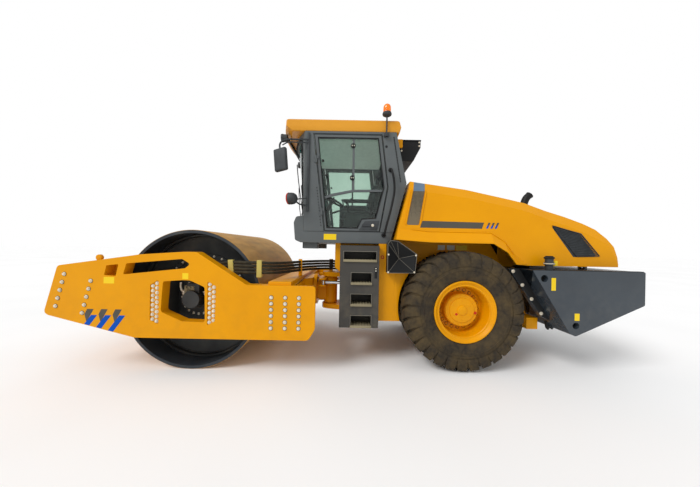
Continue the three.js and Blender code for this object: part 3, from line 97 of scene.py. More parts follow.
def choose_faces(piece, test):
    """Opens edit mode with only the faces selected for which test(centre, normal) is true."""
    edit_all(piece, "FACE")
    bpy.ops.mesh.select_all(action="DESELECT")
    bpy.ops.object.mode_set(mode="OBJECT")
    for face in piece.data.polygons:
        face.select = bool(test(face.center, face.normal))
    bpy.ops.object.mode_set(mode="EDIT")


def settle(piece, name=None):
    """Puts the place, turn and size of a piece into its mesh."""
    pick(piece)
    if name:
        piece.name = name
    bpy.ops.object.transform_apply(location=True, rotation=True, scale=True)
    return piece


def outward(piece, merge=1e-5):
    edit_all(piece)
    bpy.ops.mesh.remove_doubles(threshold=merge)
    bpy.ops.mesh.normals_make_consistent(inside=False)
    bpy.ops.object.mode_set(mode="OBJECT")


print("helpers: deselect, pick, edit_all, choose_faces, settle, outward")


# %% Modifiers and finishing
def apply_modifier(piece, kind, **settings):
    pick(piece)
    modifier = piece.modifiers.new(kind.title(), kind)
    for key, value in settings.items():
        setattr(modifier, key, value)
    bpy.ops.object.modifier_apply(modifier=modifier.name)
    return piece


def round_edges(piece, width, segments=2, angle=35):
    return apply_modifier(
        piece, "BEVEL", width=width, segments=segments, limit_method="ANGLE",
        angle_limit=math.radians(angle), use_clamp_overlap=True)


def smooth(piece, angle=35):
    pick(piece)
    bpy.ops.object.shade_smooth_by_angle(angle=math.radians(angle))
    return piece


def dress(piece, body, finish, replaces=()):
    """Gives a finished piece its paint and its body, and hides the frame's parts that it replaces.
    """
    piece.data.materials.clear()
    piece.data.materials.append(finish)
    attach(piece, body)
    if replaces:
        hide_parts(*replaces)
    return piece


print("helpers: apply_modifier, round_edges, smooth, dress")


# %% Drawing outlines, plates and turned parts
def draw_line(points, name):
    """One line of edges through the points, made by extruding a vertex from point to point."""
    deselect()
    bpy.ops.mesh.primitive_plane_add(size=0.01)
    piece = bpy.context.object
    piece.name = name
    edit_all(piece)
    bpy.ops.mesh.merge(type="CENTER")
    bpy.ops.transform.translate(value=points[0])
    for start, end in zip(points, points[1:]):
        step = Vector(end) - Vector(start)
        bpy.ops.mesh.extrude_vertices_move(TRANSFORM_OT_translate={"value": step})
    bpy.ops.object.mode_set(mode="OBJECT")
    return piece


def plate(points, pull, name):
    """A flat outline filled with one face and pulled out along a vector."""
    piece = draw_line(points, name)
    edit_all(piece)
    bpy.ops.mesh.edge_face_add()
    bpy.ops.mesh.extrude_region_move(TRANSFORM_OT_translate={"value": pull})
    bpy.ops.object.mode_set(mode="OBJECT")
    outward(piece)
    return piece


def plate_yz(points, x0, x1, name):
    return plate([(x0, y, z) for y, z in points], (x1 - x0, 0, 0), name)


def turned(profile, centre, name, axis=(1, 0, 0), steps=96):
    """A profile of (radius, distance along the axis) spun once round an axis through centre."""
    axis = Vector(axis)
    side = Vector((0, 0, 1)) if abs(axis.z) < 0.5 else Vector((1, 0, 0))
    centre = Vector(centre)
    piece = draw_line([centre + side * r + axis * along for r, along in profile], name)
    edit_all(piece)
    bpy.ops.mesh.spin(steps=steps, angle=2 * math.pi, center=centre, axis=axis)
    bpy.ops.object.mode_set(mode="OBJECT")
    outward(piece, merge=2e-5)
    return piece


def block(low, high, name):
    """A box between two corners."""
    deselect()
    low, high = Vector(low), Vector(high)
    bpy.ops.mesh.primitive_cube_add(size=1, location=(low + high) / 2)
    piece = bpy.context.object
    piece.scale = high - low
    return settle(piece, name)


def bar(start, end, radius, name, sides=24, end_radius=None):
    """A round bar from one point to another."""
    deselect()
    start, end = Vector(start), Vector(end)
    along = end - start
    bpy.ops.mesh.primitive_cone_add(
        vertices=sides, radius1=radius, radius2=radius if end_radius is None else end_radius,
        depth=along.length, location=(start + end) / 2,
        rotation=along.to_track_quat("Z", "Y").to_euler())
    return settle(bpy.context.object, name)


def tube(points, radius, name, resolution=12, sides=4, cyclic=False):
    """A round tube along a smooth curve through the points, turned into a mesh."""
    deselect()
    curve = bpy.data.curves.new(name, "CURVE")
    curve.dimensions = "3D"
    spline = curve.splines.new("BEZIER")
    spline.bezier_points.add(len(points) - 1)
    for knot, place in zip(spline.bezier_points, points):
        knot.co = place
        knot.handle_left_type = knot.handle_right_type = "AUTO"
    spline.use_cyclic_u = cyclic
    curve.resolution_u = resolution
    curve.bevel_depth = radius
    curve.bevel_resolution = sides
    curve.use_fill_caps = not cyclic
    piece = bpy.data.objects.new(name, curve)
    bpy.context.scene.collection.objects.link(piece)
    pick(piece)
    bpy.ops.object.convert(target="MESH")
    piece = bpy.context.object
    outward(piece)
    return piece


print("helpers: draw_line, plate, plate_yz, turned, block, bar, tube")


# %% Copies, mirrored twins and joins
def join(pieces, name):
    pick(pieces[0])
    for piece in pieces[1:]:
        piece.select_set(True)
    if len(pieces) > 1:
        bpy.ops.object.join()
    joined = bpy.context.object
    joined.name = name
    return joined


def copy_of(piece, name):
    twin = piece.copy()
    twin.data = piece.data.copy()
    twin.name = name
    bpy.context.scene.collection.objects.link(twin)
    return twin


def scatter(original, places, name):
    """Copies of one small piece, moved or placed by matrix, joined into one mesh."""
    copies = []
    for place in places:
        twin = copy_of(original, name)
        matrix = place if isinstance(place, Matrix) else Matrix.Translation(place)
        twin.data.transform(matrix)
        copies.append(twin)
    bpy.data.objects.remove(original)
    return join(copies, name)


def mirror_twin(piece, name):
    """The same piece on the machine's other side."""
    twin = copy_of(piece, name)
    twin.data.transform(Matrix.Scale(-1, 4, (1, 0, 0)))
    twin.data.flip_normals()
    return twin


print("helpers: join, copy_of, scatter, mirror_twin")

# %% [markdown]
# ## Finishes
# Each finish is named for the real material and the way its surface was made. Its colour is an
# sRGB hex value, turned to linear light by one function. Patterns are placed in Object coordinates,
# in metres, so a scale is one over a real size.

# %% Colour and node helpers
def colour(text):
    """An sRGB hex colour as linear red, green, blue and alpha."""
    channels = [int(text[i:i + 2], 16) / 255 for i in (0, 2, 4)]
    linear = [c / 12.92 if c <= 0.04045 else ((c + 0.055) / 1.055) ** 2.4 for c in channels]
    return (*linear, 1.0)


def finish_of(name, **sockets):
    """A new material with constants set on its shader's own sockets."""
    made = bpy.data.materials.new(name)
    made.use_nodes = True
    shader = made.node_tree.nodes["Principled BSDF"]
    for socket, value in sockets.items():
        shader.inputs[socket.replace("_", " ")].default_value = value
    return made, made.node_tree, shader


def add_node(tree, kind, settings=None, **links):
    """Adds a node, sets its properties and inputs, and links sockets into it."""
    made = tree.nodes.new(kind)
    for key, value in (settings or {}).items():
        if hasattr(made, key):
            setattr(made, key, value)
        else:
            made.inputs[key].default_value = value
    for key, socket in links.items():
        tree.links.new(socket, made.inputs[key])
    return made


def placed(tree, scale=(1, 1, 1), turn=(0, 0, 0)):
    """Object coordinates, stretched and turned by a Mapping node."""
    place = add_node(tree, "ShaderNodeTexCoord")
    return add_node(
        tree, "ShaderNodeMapping", {"Scale": scale, "Rotation": turn},
        Vector=place.outputs["Object"]).outputs["Vector"]


def noise(tree, size, detail=4.0, vector=None):
    """A noise whose blotches are about size metres across."""
    return add_node(
        tree, "ShaderNodeTexNoise", {"Scale": 1 / size, "Detail": detail},
        Vector=vector or placed(tree)).outputs["Fac"]


def ramp(tree, factor, stops):
    """A colour ramp from pairs of place and linear colour."""
    made = add_node(tree, "ShaderNodeValToRGB", Fac=factor)
    first, last = made.color_ramp.elements[0], made.color_ramp.elements[-1]
    for element, (place, tone) in zip((first, last), (stops[0], stops[-1])):
        element.position, element.color = place, tone
    for place, tone in stops[1:-1]:
        made.color_ramp.elements.new(place).color = tone
    return made.outputs["Color"]


def grey(value):
    return (value, value, value, 1.0)


def connect(tree, socket, shader, name):
    tree.links.new(socket, shader.inputs[name])


def bump(tree, shader, height, distance, strength=1.0):
    made = add_node(
        tree, "ShaderNodeBump", {"Distance": distance, "Strength": strength}, Height=height)
    connect(tree, made.outputs["Normal"], shader, "Normal")


def blend_colours(tree, factor, first, second, mode="MIX"):
    made = add_node(tree, "ShaderNodeMix", {"data_type": "RGBA", "blend_type": mode})
    tree.links.new(factor, made.inputs[0])
    for socket, value in ((made.inputs[6], first), (made.inputs[7], second)):
        if isinstance(value, tuple):
            socket.default_value = value
        else:
            tree.links.new(value, socket)
    return made.outputs[2]


print("helpers: colour, finish_of, add_node, placed, noise, ramp, bump, blend_colours")


# %% [markdown]
# ### Paints
# Chassis, yoke and hood are sprayed with a two-pack gloss enamel. Up close such a coat has a
# faint orange peel, a few millimetres across, and outdoors it carries a thin film of dust that
# lies thicker low down. A flat colour would look like plastic, so dust is mixed in by height and
# noise, and the peel is a tiny bump.

# %% Sprayed enamel
def enamel(name, base, shade, dust="8f7a50", roughness=0.36, dust_share=0.22, gloss=0.22):
    made, tree, shader = finish_of(name, Roughness=roughness, Specular_IOR_Level=gloss, IOR=1.5)
    patches = noise(tree, 0.55, 5)
    paint = ramp(tree, patches, [(0.3, colour(shade)), (0.62, colour(base))])
    place = placed(tree)
    height = add_node(tree, "ShaderNodeSeparateXYZ", Vector=place).outputs["Z"]
    low = add_node(
        tree, "ShaderNodeMapRange",
        {"From Min": 0.25, "From Max": 1.25, "To Min": dust_share, "To Max": 0.02},
        Value=height).outputs["Result"]
    film = add_node(
        tree, "ShaderNodeMath", {"operation": "MULTIPLY"}).outputs[0]
    film_node = film.node
    tree.links.new(low, film_node.inputs[0])
    tree.links.new(
        ramp(tree, noise(tree, 0.12, 6), [(0.42, grey(0)), (0.7, grey(1))]), film_node.inputs[1])
    connect(tree, blend_colours(tree, film, paint, colour(dust)), shader, "Base Color")
    bump(tree, shader, noise(tree, 0.004, 2), 0.0003, 0.25)
    return made


YELLOW = enamel("gloss_yellow_enamel", "e19900", "da9200", dust="a87820", gloss=0.15)
ROOF_YELLOW = enamel("roof_yellow_enamel", "d8962c", "cf8c22", dust="b98f4c")
CAB_GREY = enamel("satin_grey_powder_coat", "5d6263", "565a5b", dust="7d7a70", roughness=0.45)
STEP_GREY = enamel("dusty_grey_powder_coat", "45433f", "3d3b38", dust="7a705c", roughness=0.5,
                   dust_share=0.4)
WEIGHT_GREY = enamel("gloss_slate_enamel", "353d44", "2f363d", dust="6b6a64", roughness=0.22,
                     gloss=0.5)
BLACK = enamel("satin_black_enamel", "1b1c1d", "151617", dust="5c564a", roughness=0.5)
DECAL_YELLOW = enamel("plain_yellow_film", "eecb1e", "e6c216", roughness=0.3, dust_share=0.1)
STRAP_YELLOW = enamel("pale_strap_enamel", "bfae5e", "b3a254", roughness=0.45)
DECAL_BLUE = enamel("blue_film", "0050b4", "0048a2", roughness=0.3, dust_share=0.0, gloss=0.1)
DECAL_GREY = enamel("grey_film", "504e48", "494741", roughness=0.35, dust_share=0.1)
DECAL_WHITE = enamel("white_film", "d2cdbb", "c9c4b2", roughness=0.35, dust_share=0.1)
DUSTY = enamel("sand_covered_steel", "8f866c", "7d745c", dust="a3987c", roughness=0.8)
# Pale grey edge finish: worn paint on the step frames, and painted highlight on the air box's
# folds.
WORN_AND_HIGHLIGHT_EDGE = enamel("worn_paint_and_painted_highlight", "77736a", "68645b", roughness=0.5)
RED = enamel("red_lens_plastic", "c22a12", "b0240e", roughness=0.25, dust_share=0.1)
print("paints: yellow, roof yellow, cab grey, slate, black and plain films")

# %% [markdown]
# ### Steel, rubber, glass and moulded plastic
# The drum is a rolled plate that has run in sand: turned brown with dust and polished in streaks
# along its rolling direction. Tyres are dull black rubber under dry mud. The cab's panes are
# green tinted safety glass. Lamps, mirrors and seals are grained plastic and rubber.

# %% Rolled drum steel: ochre with soil outside, dark slate inside and on the cut edge
DRUM_AXIS = Vector(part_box("drum_shell")[0]).lerp(Vector(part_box("drum_shell")[1]), 0.5)
DRUM_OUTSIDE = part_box("drum_shell")[1][2] - DRUM_AXIS.z - 0.002
DRUM_STEEL, tree, shader = finish_of("rolled_drum_steel", Roughness=0.55, Specular_IOR_Level=0.3)
streaks = noise(tree, 0.09, 6, placed(tree, (0.3, 1, 1)))
worn = ramp(tree, streaks, [
    (0.3, colour("a87a30")), (0.5, colour("c08c3a")), (0.7, colour("cd9a48"))])
soil = ramp(tree, noise(tree, 0.5, 5), [(0.4, grey(0)), (0.75, grey(0.5))])
outside = blend_colours(tree, soil, worn, colour("b58f52"))
inside = ramp(tree, noise(tree, 0.2, 5), [
    (0.35, colour("2b3036")), (0.6, colour("363b40")), (0.8, colour("4a4a44"))])
from_axis = add_node(
    tree, "ShaderNodeVectorMath", {"operation": "MULTIPLY"}, Vector=placed(tree)).outputs[0]
from_axis.node.inputs[1].default_value = (0, 1, 1)
reach = add_node(tree, "ShaderNodeVectorMath", {"operation": "DISTANCE"}, Vector=from_axis)
reach.inputs[1].default_value = (0, DRUM_AXIS.y, DRUM_AXIS.z)
rolled = add_node(
    tree, "ShaderNodeMapRange", {"From Min": DRUM_OUTSIDE - 0.004, "From Max": DRUM_OUTSIDE},
    Value=reach.outputs["Value"]).outputs["Result"]
connect(tree, blend_colours(tree, rolled, inside, outside), shader, "Base Color")
bump(tree, shader, noise(tree, 0.012, 5), 0.0008, 0.4)

DRUM_HEAD, tree, shader = finish_of("primed_dark_steel", Metallic=0.2, Roughness=0.6)
connect(tree, ramp(tree, noise(tree, 0.25, 6), [
    (0.35, colour("2a2c2d")), (0.55, colour("383a39")), (0.8, colour("544f44"))]),
    shader, "Base Color")
bump(tree, shader, noise(tree, 0.01, 4), 0.0008, 0.4)
print("finishes:", DRUM_STEEL.name, DRUM_HEAD.name)

# %% Bright steel: zinc-plated bolts and hard-chromed rods
ZINC, tree, shader = finish_of("zinc_plated_steel", Metallic=0.35, Roughness=0.38)
connect(tree, ramp(tree, noise(tree, 0.02, 3), [
    (0.35, colour("cfc4ac")), (0.65, colour("ebe4d4"))]), shader, "Base Color")
bump(tree, shader, noise(tree, 0.003, 2), 0.0002, 0.3)

CHROME, tree, shader = finish_of("hard_chromed_steel", Metallic=1.0)
connect(tree, ramp(tree, noise(tree, 0.05, 3), [
    (0.3, colour("c6c9cc")), (0.7, colour("dcdfe2"))]), shader, "Base Color")
connect(tree, ramp(tree, noise(tree, 0.004, 3, placed(tree, (1, 0.2, 1))), [
    (0.3, grey(0.12)), (0.7, grey(0.24))]), shader, "Roughness")
print("finishes:", ZINC.name, CHROME.name)

# %% Tyre rubber, hose rubber and seals
def rubber(name, base, dusty, share, grain=0.003, soil="665433"):
    made, tree, shader = finish_of(name, Roughness=0.85, IOR=1.5, Specular_IOR_Level=0.25)
    mud = ramp(tree, noise(tree, 0.16, 7), [(0.38, grey(0)), (0.72, grey(share))])
    base_tone = ramp(tree, noise(tree, 0.04, 4), [(0.3, colour(base)), (0.7, colour(dusty))])
    connect(tree, blend_colours(tree, mud, base_tone, colour(soil)), shader, "Base Color")
    bump(tree, shader, noise(tree, grain, 4), 0.0006, 0.5)
    return made


TYRE = rubber("moulded_tyre_rubber", "2b2620", "3b3327", 0.45)
HOSE = rubber("braided_hose_rubber", "23211a", "38352a", 0.3)
SEAL = rubber("extruded_seal_rubber", "1c1d1e", "26282a", 0.08)

PLASTIC, tree, shader = finish_of("grained_moulded_plastic", Roughness=0.62, IOR=1.46)
connect(tree, ramp(tree, noise(tree, 0.1, 4), [
    (0.35, colour("2c2f31")), (0.7, colour("393d40"))]), shader, "Base Color")
grain = add_node(
    tree, "ShaderNodeTexVoronoi", {"Scale": 1 / 0.003}, Vector=placed(tree)).outputs["Distance"]
bump(tree, shader, grain, 0.0004, 0.3)
print("finishes:", TYRE.name, HOSE.name, SEAL.name, PLASTIC.name)

# %% Tinted glass, lamp glass, mirror and amber lens
# Safety glass lets most light through and takes a little red away, so white turns pale green. A
# faint film of dust makes it slightly rough.
def tinted(name, tone, film, clear):
    made, tree, shader = finish_of(
        name, Transmission_Weight=clear, IOR=1.45, Specular_IOR_Level=0.5)
    shade = ramp(tree, noise(tree, 0.6, 3), [(0.3, colour(tone)), (0.7, colour(film))])
    connect(tree, shade, shader, "Base Color")
    connect(tree, ramp(tree, noise(tree, 0.15, 4), [(0.3, grey(0.0)), (0.8, grey(0.06))]),
            shader, "Roughness")
    return made


GLASS = tinted("green_tinted_safety_glass", "c6dacf", "d0e2d8", 1.0)
SCREEN_GLASS = tinted("laminated_screen_glass", "8fd8d3", "9addd9", 0.95)

AMBER, tree, shader = finish_of(
    "amber_acrylic_lens", Transmission_Weight=0.35, IOR=1.49, Roughness=0.12,
    Emission_Strength=0.12)
connect(tree, ramp(tree, noise(tree, 0.08, 3), [
    (0.3, colour("f07800")), (0.7, colour("ff9410"))]), shader, "Base Color")
connect(tree, ramp(tree, noise(tree, 0.08, 3), [
    (0.3, colour("f07800")), (0.7, colour("ff9410"))]), shader, "Emission Color")

MIRROR, tree, shader = finish_of("silvered_mirror_glass", Metallic=1.0)
connect(tree, ramp(tree, noise(tree, 0.2, 3), [
    (0.3, colour("c9d3d8")), (0.7, colour("d8e0e4"))]), shader, "Base Color")
connect(tree, ramp(tree, noise(tree, 0.05, 4), [(0.3, grey(0.02)), (0.8, grey(0.1))]),
        shader, "Roughness")

LAMP, tree, shader = finish_of("lamp_reflector_glass", Metallic=0.7, Roughness=0.15)
ribs = add_node(
    tree, "ShaderNodeTexWave", {"Scale": 1 / 0.02, "Distortion": 0.5},
    Vector=placed(tree)).outputs["Fac"]
connect(tree, ramp(tree, ribs, [(0.2, colour("cfd4d8")), (0.8, colour("eef1f3"))]),
        shader, "Base Color")
bump(tree, shader, ribs, 0.001, 0.4)
print("finishes:", GLASS.name, SCREEN_GLASS.name, AMBER.name, MIRROR.name, LAMP.name)

# %% Perforated band: blue-grey above, brown mesh with round holes below
BAND_BLUE, tree, shader = finish_of("perforated_band_enamel", Roughness=0.5, Specular_IOR_Level=0.3)
place = placed(tree)
holes = ramp(tree, add_node(
    tree, "ShaderNodeTexVoronoi", {"Scale": 1 / 0.016, "Randomness": 0.15},
    Vector=place).outputs["Distance"], [(0.30, colour("26241f")), (0.40, colour("6d6350"))])
plain = ramp(tree, noise(tree, 0.2, 4), [(0.35, colour("5b7085")), (0.7, colour("657a90"))])
height = add_node(tree, "ShaderNodeSeparateXYZ", Vector=place).outputs["Z"]
upper = add_node(
    tree, "ShaderNodeMapRange", {"From Min": 2.262, "From Max": 2.266},
    Value=height).outputs["Result"]
connect(tree, blend_colours(tree, upper, holes, plain), shader, "Base Color")
print("finish:", BAND_BLUE.name)

# %% Woven seat cloth and soft trim
SEAT_CLOTH, tree, shader = finish_of("woven_seat_cloth", Roughness=0.9, Sheen_Weight=0.3)
weave = add_node(
    tree, "ShaderNodeTexBrick", {"Scale": 1 / 0.008, "Mortar Size": 0.03},
    Vector=placed(tree)).outputs["Fac"]
thread = ramp(tree, noise(tree, 0.05, 4), [(0.3, colour("2b3236")), (0.7, colour("3a4347"))])
connect(tree, thread, shader, "Base Color")
bump(tree, shader, weave, 0.0008, 0.5)
print("finish:", SEAT_CLOTH.name)

# %% [markdown]
# ## Camera, light and floor
# The machine is seen square from its left side, by a wide lens that stands close, so the near
# side looks large and the far side small. The light is a plain studio light: a pale world, and
# one broad soft lamp above and in front.

# %% Camera
CAMERA_PLACE = (4.285, 0.0, 1.508)
FOCAL_LENGTH = 13.58
ROLL = math.radians(1.1)
deselect()
bpy.ops.object.camera_add(location=CAMERA_PLACE)
camera = bpy.context.object
look = Matrix.Rotation(math.radians(90), 3, "Z") @ Matrix.Rotation(math.radians(90), 3, "X")
camera.rotation_euler = (look @ Matrix.Rotation(ROLL, 3, "Z")).to_euler()
camera.data.sensor_width = 36
camera.data.lens = FOCAL_LENGTH
camera.data.shift_y = 0.007
camera.data.clip_end = 400
bpy.context.scene.camera = camera
print("camera at", CAMERA_PLACE, "with a", FOCAL_LENGTH, "mm lens")

# %% World and lamp
WORLD_LIGHT = 0.72
world = bpy.data.worlds.new("studio")
bpy.context.scene.world = world
world.use_nodes = True
tree = world.node_tree
backdrop = tree.nodes["Background"]
rays = add_node(tree, "ShaderNodeLightPath")
seen = add_node(tree, "ShaderNodeMath", {"operation": "MAXIMUM"})
tree.links.new(rays.outputs["Is Camera Ray"], seen.inputs[0])
tree.links.new(rays.outputs["Is Transmission Ray"], seen.inputs[1])
level = add_node(
    tree, "ShaderNodeMapRange", {"To Min": WORLD_LIGHT, "To Max": 1.0}, Value=seen.outputs[0])
tree.links.new(level.outputs["Result"], backdrop.inputs["Strength"])
backdrop.inputs["Color"].default_value = (1, 1, 1, 1)

deselect()
bpy.ops.object.light_add(type="SUN", rotation=(math.radians(35), math.radians(38), 0))
lamp = bpy.context.object
lamp.data.energy = 1.7
lamp.data.angle = math.radians(25)
bpy.context.scene.view_settings.view_transform = "Standard"
print("world at", WORLD_LIGHT, "and one soft lamp")

# %% Floor
# A pale sheet that keeps the machine's shadow. It is subdivided and dished at its rim, far away.
deselect()
bpy.ops.mesh.primitive_grid_add(x_subdivisions=24, y_subdivisions=24, size=240)
floor = bpy.context.object
floor.name = "studio_floor"
FLOOR, tree, shader = finish_of("pale_studio_vinyl", Roughness=0.9)
connect(tree, ramp(tree, noise(tree, 3.0, 2), [
    (0.3, colour("f6f6f6")), (0.7, colour("fbfbfb"))]), shader, "Base Color")
floor.data.materials.append(FLOOR)
print("floor laid")

# %% [markdown]
# ## From plain solids to finished parts
# A solid from the frame is a shell of loose triangles with knife-sharp edges, and real steel has
# none of those. The frame's own meshes stay as they are, so each part is finished on a copy: its
# triangles are merged into flat faces, its edges get a small round, and it is shaded smooth
# where faces meet at a shallow angle. On a large face with notches or windows, the merge can
# leave a face that crosses itself; it does so on the chassis, crossbeam and counterweight.

# %% Finish a copy of a solid
def finish_node(name, paint, round_to=0.004, segments=2, angle=35, merge=3e-4):
    piece = copy_of(NODES[name], name + "_finished")
    edit_all(piece)
    bpy.ops.mesh.remove_doubles(threshold=merge)
    bpy.ops.mesh.dissolve_limited(angle_limit=math.radians(0.8))
    bpy.ops.object.mode_set(mode="OBJECT")
    if round_to:
        round_edges(piece, round_to, segments, angle)
    smooth(piece, angle)
    apply_modifier(piece, "WEIGHTED_NORMAL", keep_sharp=True, weight=100)
    return dress(piece, BODY_OF[name], paint, [name])


print("helper: finish_node")


# %% [markdown]
# ## First pass: every solid gets rounded edges and its paint
# Large plates take a round of 5 mm or more, small brackets less. Parts that are modelled anew
# further down are left out here.

# %% Finish the plain parts
PLAIN_PARTS = (
    (YELLOW, 0.006, ("side_plate_left", "side_plate_right", "front_crossbeam", "rear_crossbeam",
                     "side_tank_left", "side_tank_right")),
    (YELLOW, 0.003, ("articulation_link", "chassis", "rear_axle")),
    (ROOF_YELLOW, 0.012, ("cab_roof",)),
    (DRUM_HEAD, 0.004, ("drum_carrier_left", "drum_carrier_right")),
    (BLACK, 0.001, ("steering_barrel_left", "steering_barrel_right")),
    (CHROME, 0.001, ("steering_rod_left", "steering_rod_right")),
    (BLACK, 0.008, ("engine_block", "condenser_box")),
    (STEP_GREY, 0.004, ("step_box_left", "step_box_right")),
    (CAB_GREY, 0.004, ("door_left", "door_right")),
    (CAB_GREY, 0.006, ("cab_floor", "cab_frame")),
    (PLASTIC, 0.003, ("roof_lamps",)),
    (BAND_BLUE, 0.002, ("hood_band",)),
    (PLASTIC, 0.002, ("hood_grille_left", "hood_grille_right", "filler_neck")),
    (WEIGHT_GREY, 0.008, ("counterweight",)),
    (SCREEN_GLASS, 0.001, ("windshield",)),
    (GLASS, 0.001, ("rear_window", "door_glass_left", "door_glass_right")),
)
FINISHED = {}
for paint, width, names in PLAIN_PARTS:
    for name in names:
        FINISHED[name] = finish_node(name, paint, width)
    print(paint.name, "on", ", ".join(names))
FINISHED["hood_shell"] = finish_node("hood_shell", YELLOW, 0.006, 2, 17)

# %% [markdown]
# ## Drive tyres
# A drive tyre for soil has a plain round carcass and two rows of heavy lugs, which slant from
# the middle of the tread out over the shoulder. The rows are shifted by half a lug, and both
# lean the same way, so the tyre clears itself of mud. We spin the carcass and build one lug: its
# end face is pulled from station to station, and turned a little about the axle at each.

# %% Where the left wheel stands
low, high = (Vector(corner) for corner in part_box("tyre_left"))
HUB = (low + high) / 2
TYRE_RADIUS = (high.z - low.z) / 2
TREAD_DEPTH = 0.038
LUGS = 29
print("left wheel at", [round(v, 3) for v in HUB], "radius", round(TYRE_RADIUS, 3))


def round_places(centre, count, start=0.0, axis="X"):
    """Matrices that turn a piece about a line through centre into a full circle of copies."""
    there, back = Matrix.Translation(centre), Matrix.Translation(-Vector(centre))
    return [there @ Matrix.Rotation(start + 2 * math.pi * k / count, 4, axis) @ back
            for k in range(count)]


# %% The carcass, with a raised ring on its side
crown = TYRE_RADIUS - TREAD_DEPTH
half_profile = [
    (0.3203, -0.240), (0.384, -0.240), (0.398, -0.262), (0.440, -0.284), (0.512, -0.292),
    (0.517, -0.297), (0.526, -0.297), (0.531, -0.293), (0.600, -0.290), (0.650, -0.278),
    (crown - 0.024, -0.256), (crown - 0.006, -0.228), (crown, -0.19), (crown + 0.003, 0.0),
]
profile = half_profile + [(r, -x) for r, x in reversed(half_profile[:-1])] + half_profile[:1]
carcass = turned(profile, HUB, "tyre_left_rubber", steps=120)
print("carcass:", len(carcass.data.polygons), "faces")

# %% One lug, from the middle of the tread over the shoulder
top = TYRE_RADIUS - 0.0028
STATIONS = (  # distance from the tyre's middle, top radius, bottom radius, turn in degrees
    (0.012, top, crown - 0.02, 0.0), (0.105, top, crown - 0.02, 3.2),
    (0.192, top, crown - 0.02, 6.2),
    (0.240, top - 0.014, crown - 0.04, 7.8), (0.272, top - 0.045, crown - 0.08, 9.0),
    (0.291, top - 0.092, crown - 0.12, 9.9), (0.299, top - 0.150, crown - 0.15, 10.4),
)
first = STATIONS[0]
lug = draw_line([
    (HUB.x + first[0], HUB.y + y, HUB.z + r)
    for y, r in ((-0.064, first[2]), (-0.058, first[1]), (0.058, first[1]), (0.064, first[2]))
], "lug")
edit_all(lug)
bpy.ops.mesh.edge_face_add()
for (x0, top0, low0, turn0), (x1, top1, low1, turn1) in zip(STATIONS, STATIONS[1:]):
    bpy.ops.mesh.extrude_region_move()
    bpy.ops.transform.rotate(
        value=math.radians(-turn0), orient_axis="X", center_override=HUB)
    middle = (top1 + low1) / 2
    bpy.ops.transform.translate(value=(x1 - x0, 0, middle - (top0 + low0) / 2))
    bpy.ops.transform.resize(
        value=(1, 1, (top1 - low1) / (top0 - low0)), center_override=HUB + Vector((x1, 0, middle)))
    bpy.ops.transform.rotate(
        value=math.radians(turn1), orient_axis="X", center_override=HUB)
outward(lug)
round_edges(lug, 0.006, 2, 30)
print("one lug:", len(lug.data.polygons), "faces")

# %% Two rows of lugs, joined with the carcass, and the other tyre
flip = Matrix.Translation(HUB) @ Matrix.Scale(-1, 4, (1, 0, 0)) @ Matrix.Translation(-HUB)
inner_lug = copy_of(lug, "inner_lug")
inner_lug.data.transform(flip)
outer_row = scatter(lug, round_places(HUB, LUGS), "outer_lugs")
inner_row = scatter(inner_lug, round_places(HUB, LUGS, math.pi / LUGS), "inner_lugs")
outward(inner_row)
tyre = smooth(join([carcass, outer_row, inner_row], "tyre_left_rubber"), 32)
other_tyre = mirror_twin(tyre, "tyre_right_rubber")
dress(tyre, "wheel_left", TYRE, ["tyre_left"])
dress(other_tyre, "wheel_right", TYRE, ["tyre_right"])
print("tyres:", 2 * LUGS, "lugs each,", len(tyre.data.polygons), "faces")

# %% [markdown]
# ## Wheels
# The rim is a rolled steel ring with a deep well. The web inside is held by a circle of nuts, and
# the planetary hub stands out of it with a bolted cover. All of it is one turned profile; nuts
# and bolts are modelled once and turned round the axle.

# %% Rim, web and hub as one turned part
rim = turned([
    (0.061, -0.18), (0.19, -0.18), (0.19, -0.04), (0.294, -0.04), (0.294, -0.262), (0.376, -0.262),
    (0.38, -0.258), (0.38, -0.2403), (0.32, -0.2403), (0.32, 0.2403), (0.38, 0.2403),
    (0.386, 0.246), (0.386, 0.258), (0.38, 0.263), (0.368, 0.262), (0.362, 0.254), (0.318, 0.232),
    (0.312, 0.224), (0.300, 0.10), (0.292, 0.03), (0.280, 0.018), (0.222, 0.018), (0.215, 0.026),
    (0.212, 0.116), (0.209, 0.124), (0.203, 0.126), (0.203, 0.136), (0.199, 0.140), (0.158, 0.142),
    (0.155, 0.146), (0.155, 0.150), (0.152, 0.153), (0.064, 0.156), (0.062, 0.160), (0.058, 0.166),
    (0.050, 0.169), (0.0, 0.170), (0.0, 0.005), (0.061, 0.005), (0.061, -0.18),
], HUB, "rim_left_steel", steps=120)
smooth(rim, 30)
other_rim = mirror_twin(rim, "rim_right_steel")
dress(rim, "wheel_left", YELLOW, ["rim_left"])
dress(other_rim, "wheel_right", YELLOW, ["rim_right"])
print("rim:", len(rim.data.polygons), "faces")


# %% A hexagon bolt with its washer, to be copied
def hex_bolt(place, direction, size, name="hex_bolt"):
    """Washer, hexagon head and a small dimpled tip, standing on place."""
    place, direction = Vector(place), Vector(direction)
    washer = bar(place, place + direction * size * 0.18, size * 1.3, name)
    head = bar(place + direction * size * 0.18, place + direction * size * 0.75, size, name,
               sides=6)
    tip = bar(place + direction * size * 0.74, place + direction * size * 0.9, size * 0.55, name,
              12)
    return round_edges(join([washer, head, tip], name), size * 0.08, 2, 40)


def both_sides(piece, name, body, finish, other_body=None):
    """Dresses a left piece and its mirrored twin."""
    piece.name = name + "_left"
    smooth(piece)
    twin = mirror_twin(piece, name + "_right")
    dress(piece, body, finish)
    dress(twin, other_body or body, finish)
    return piece


print("helpers: hex_bolt, both_sides")

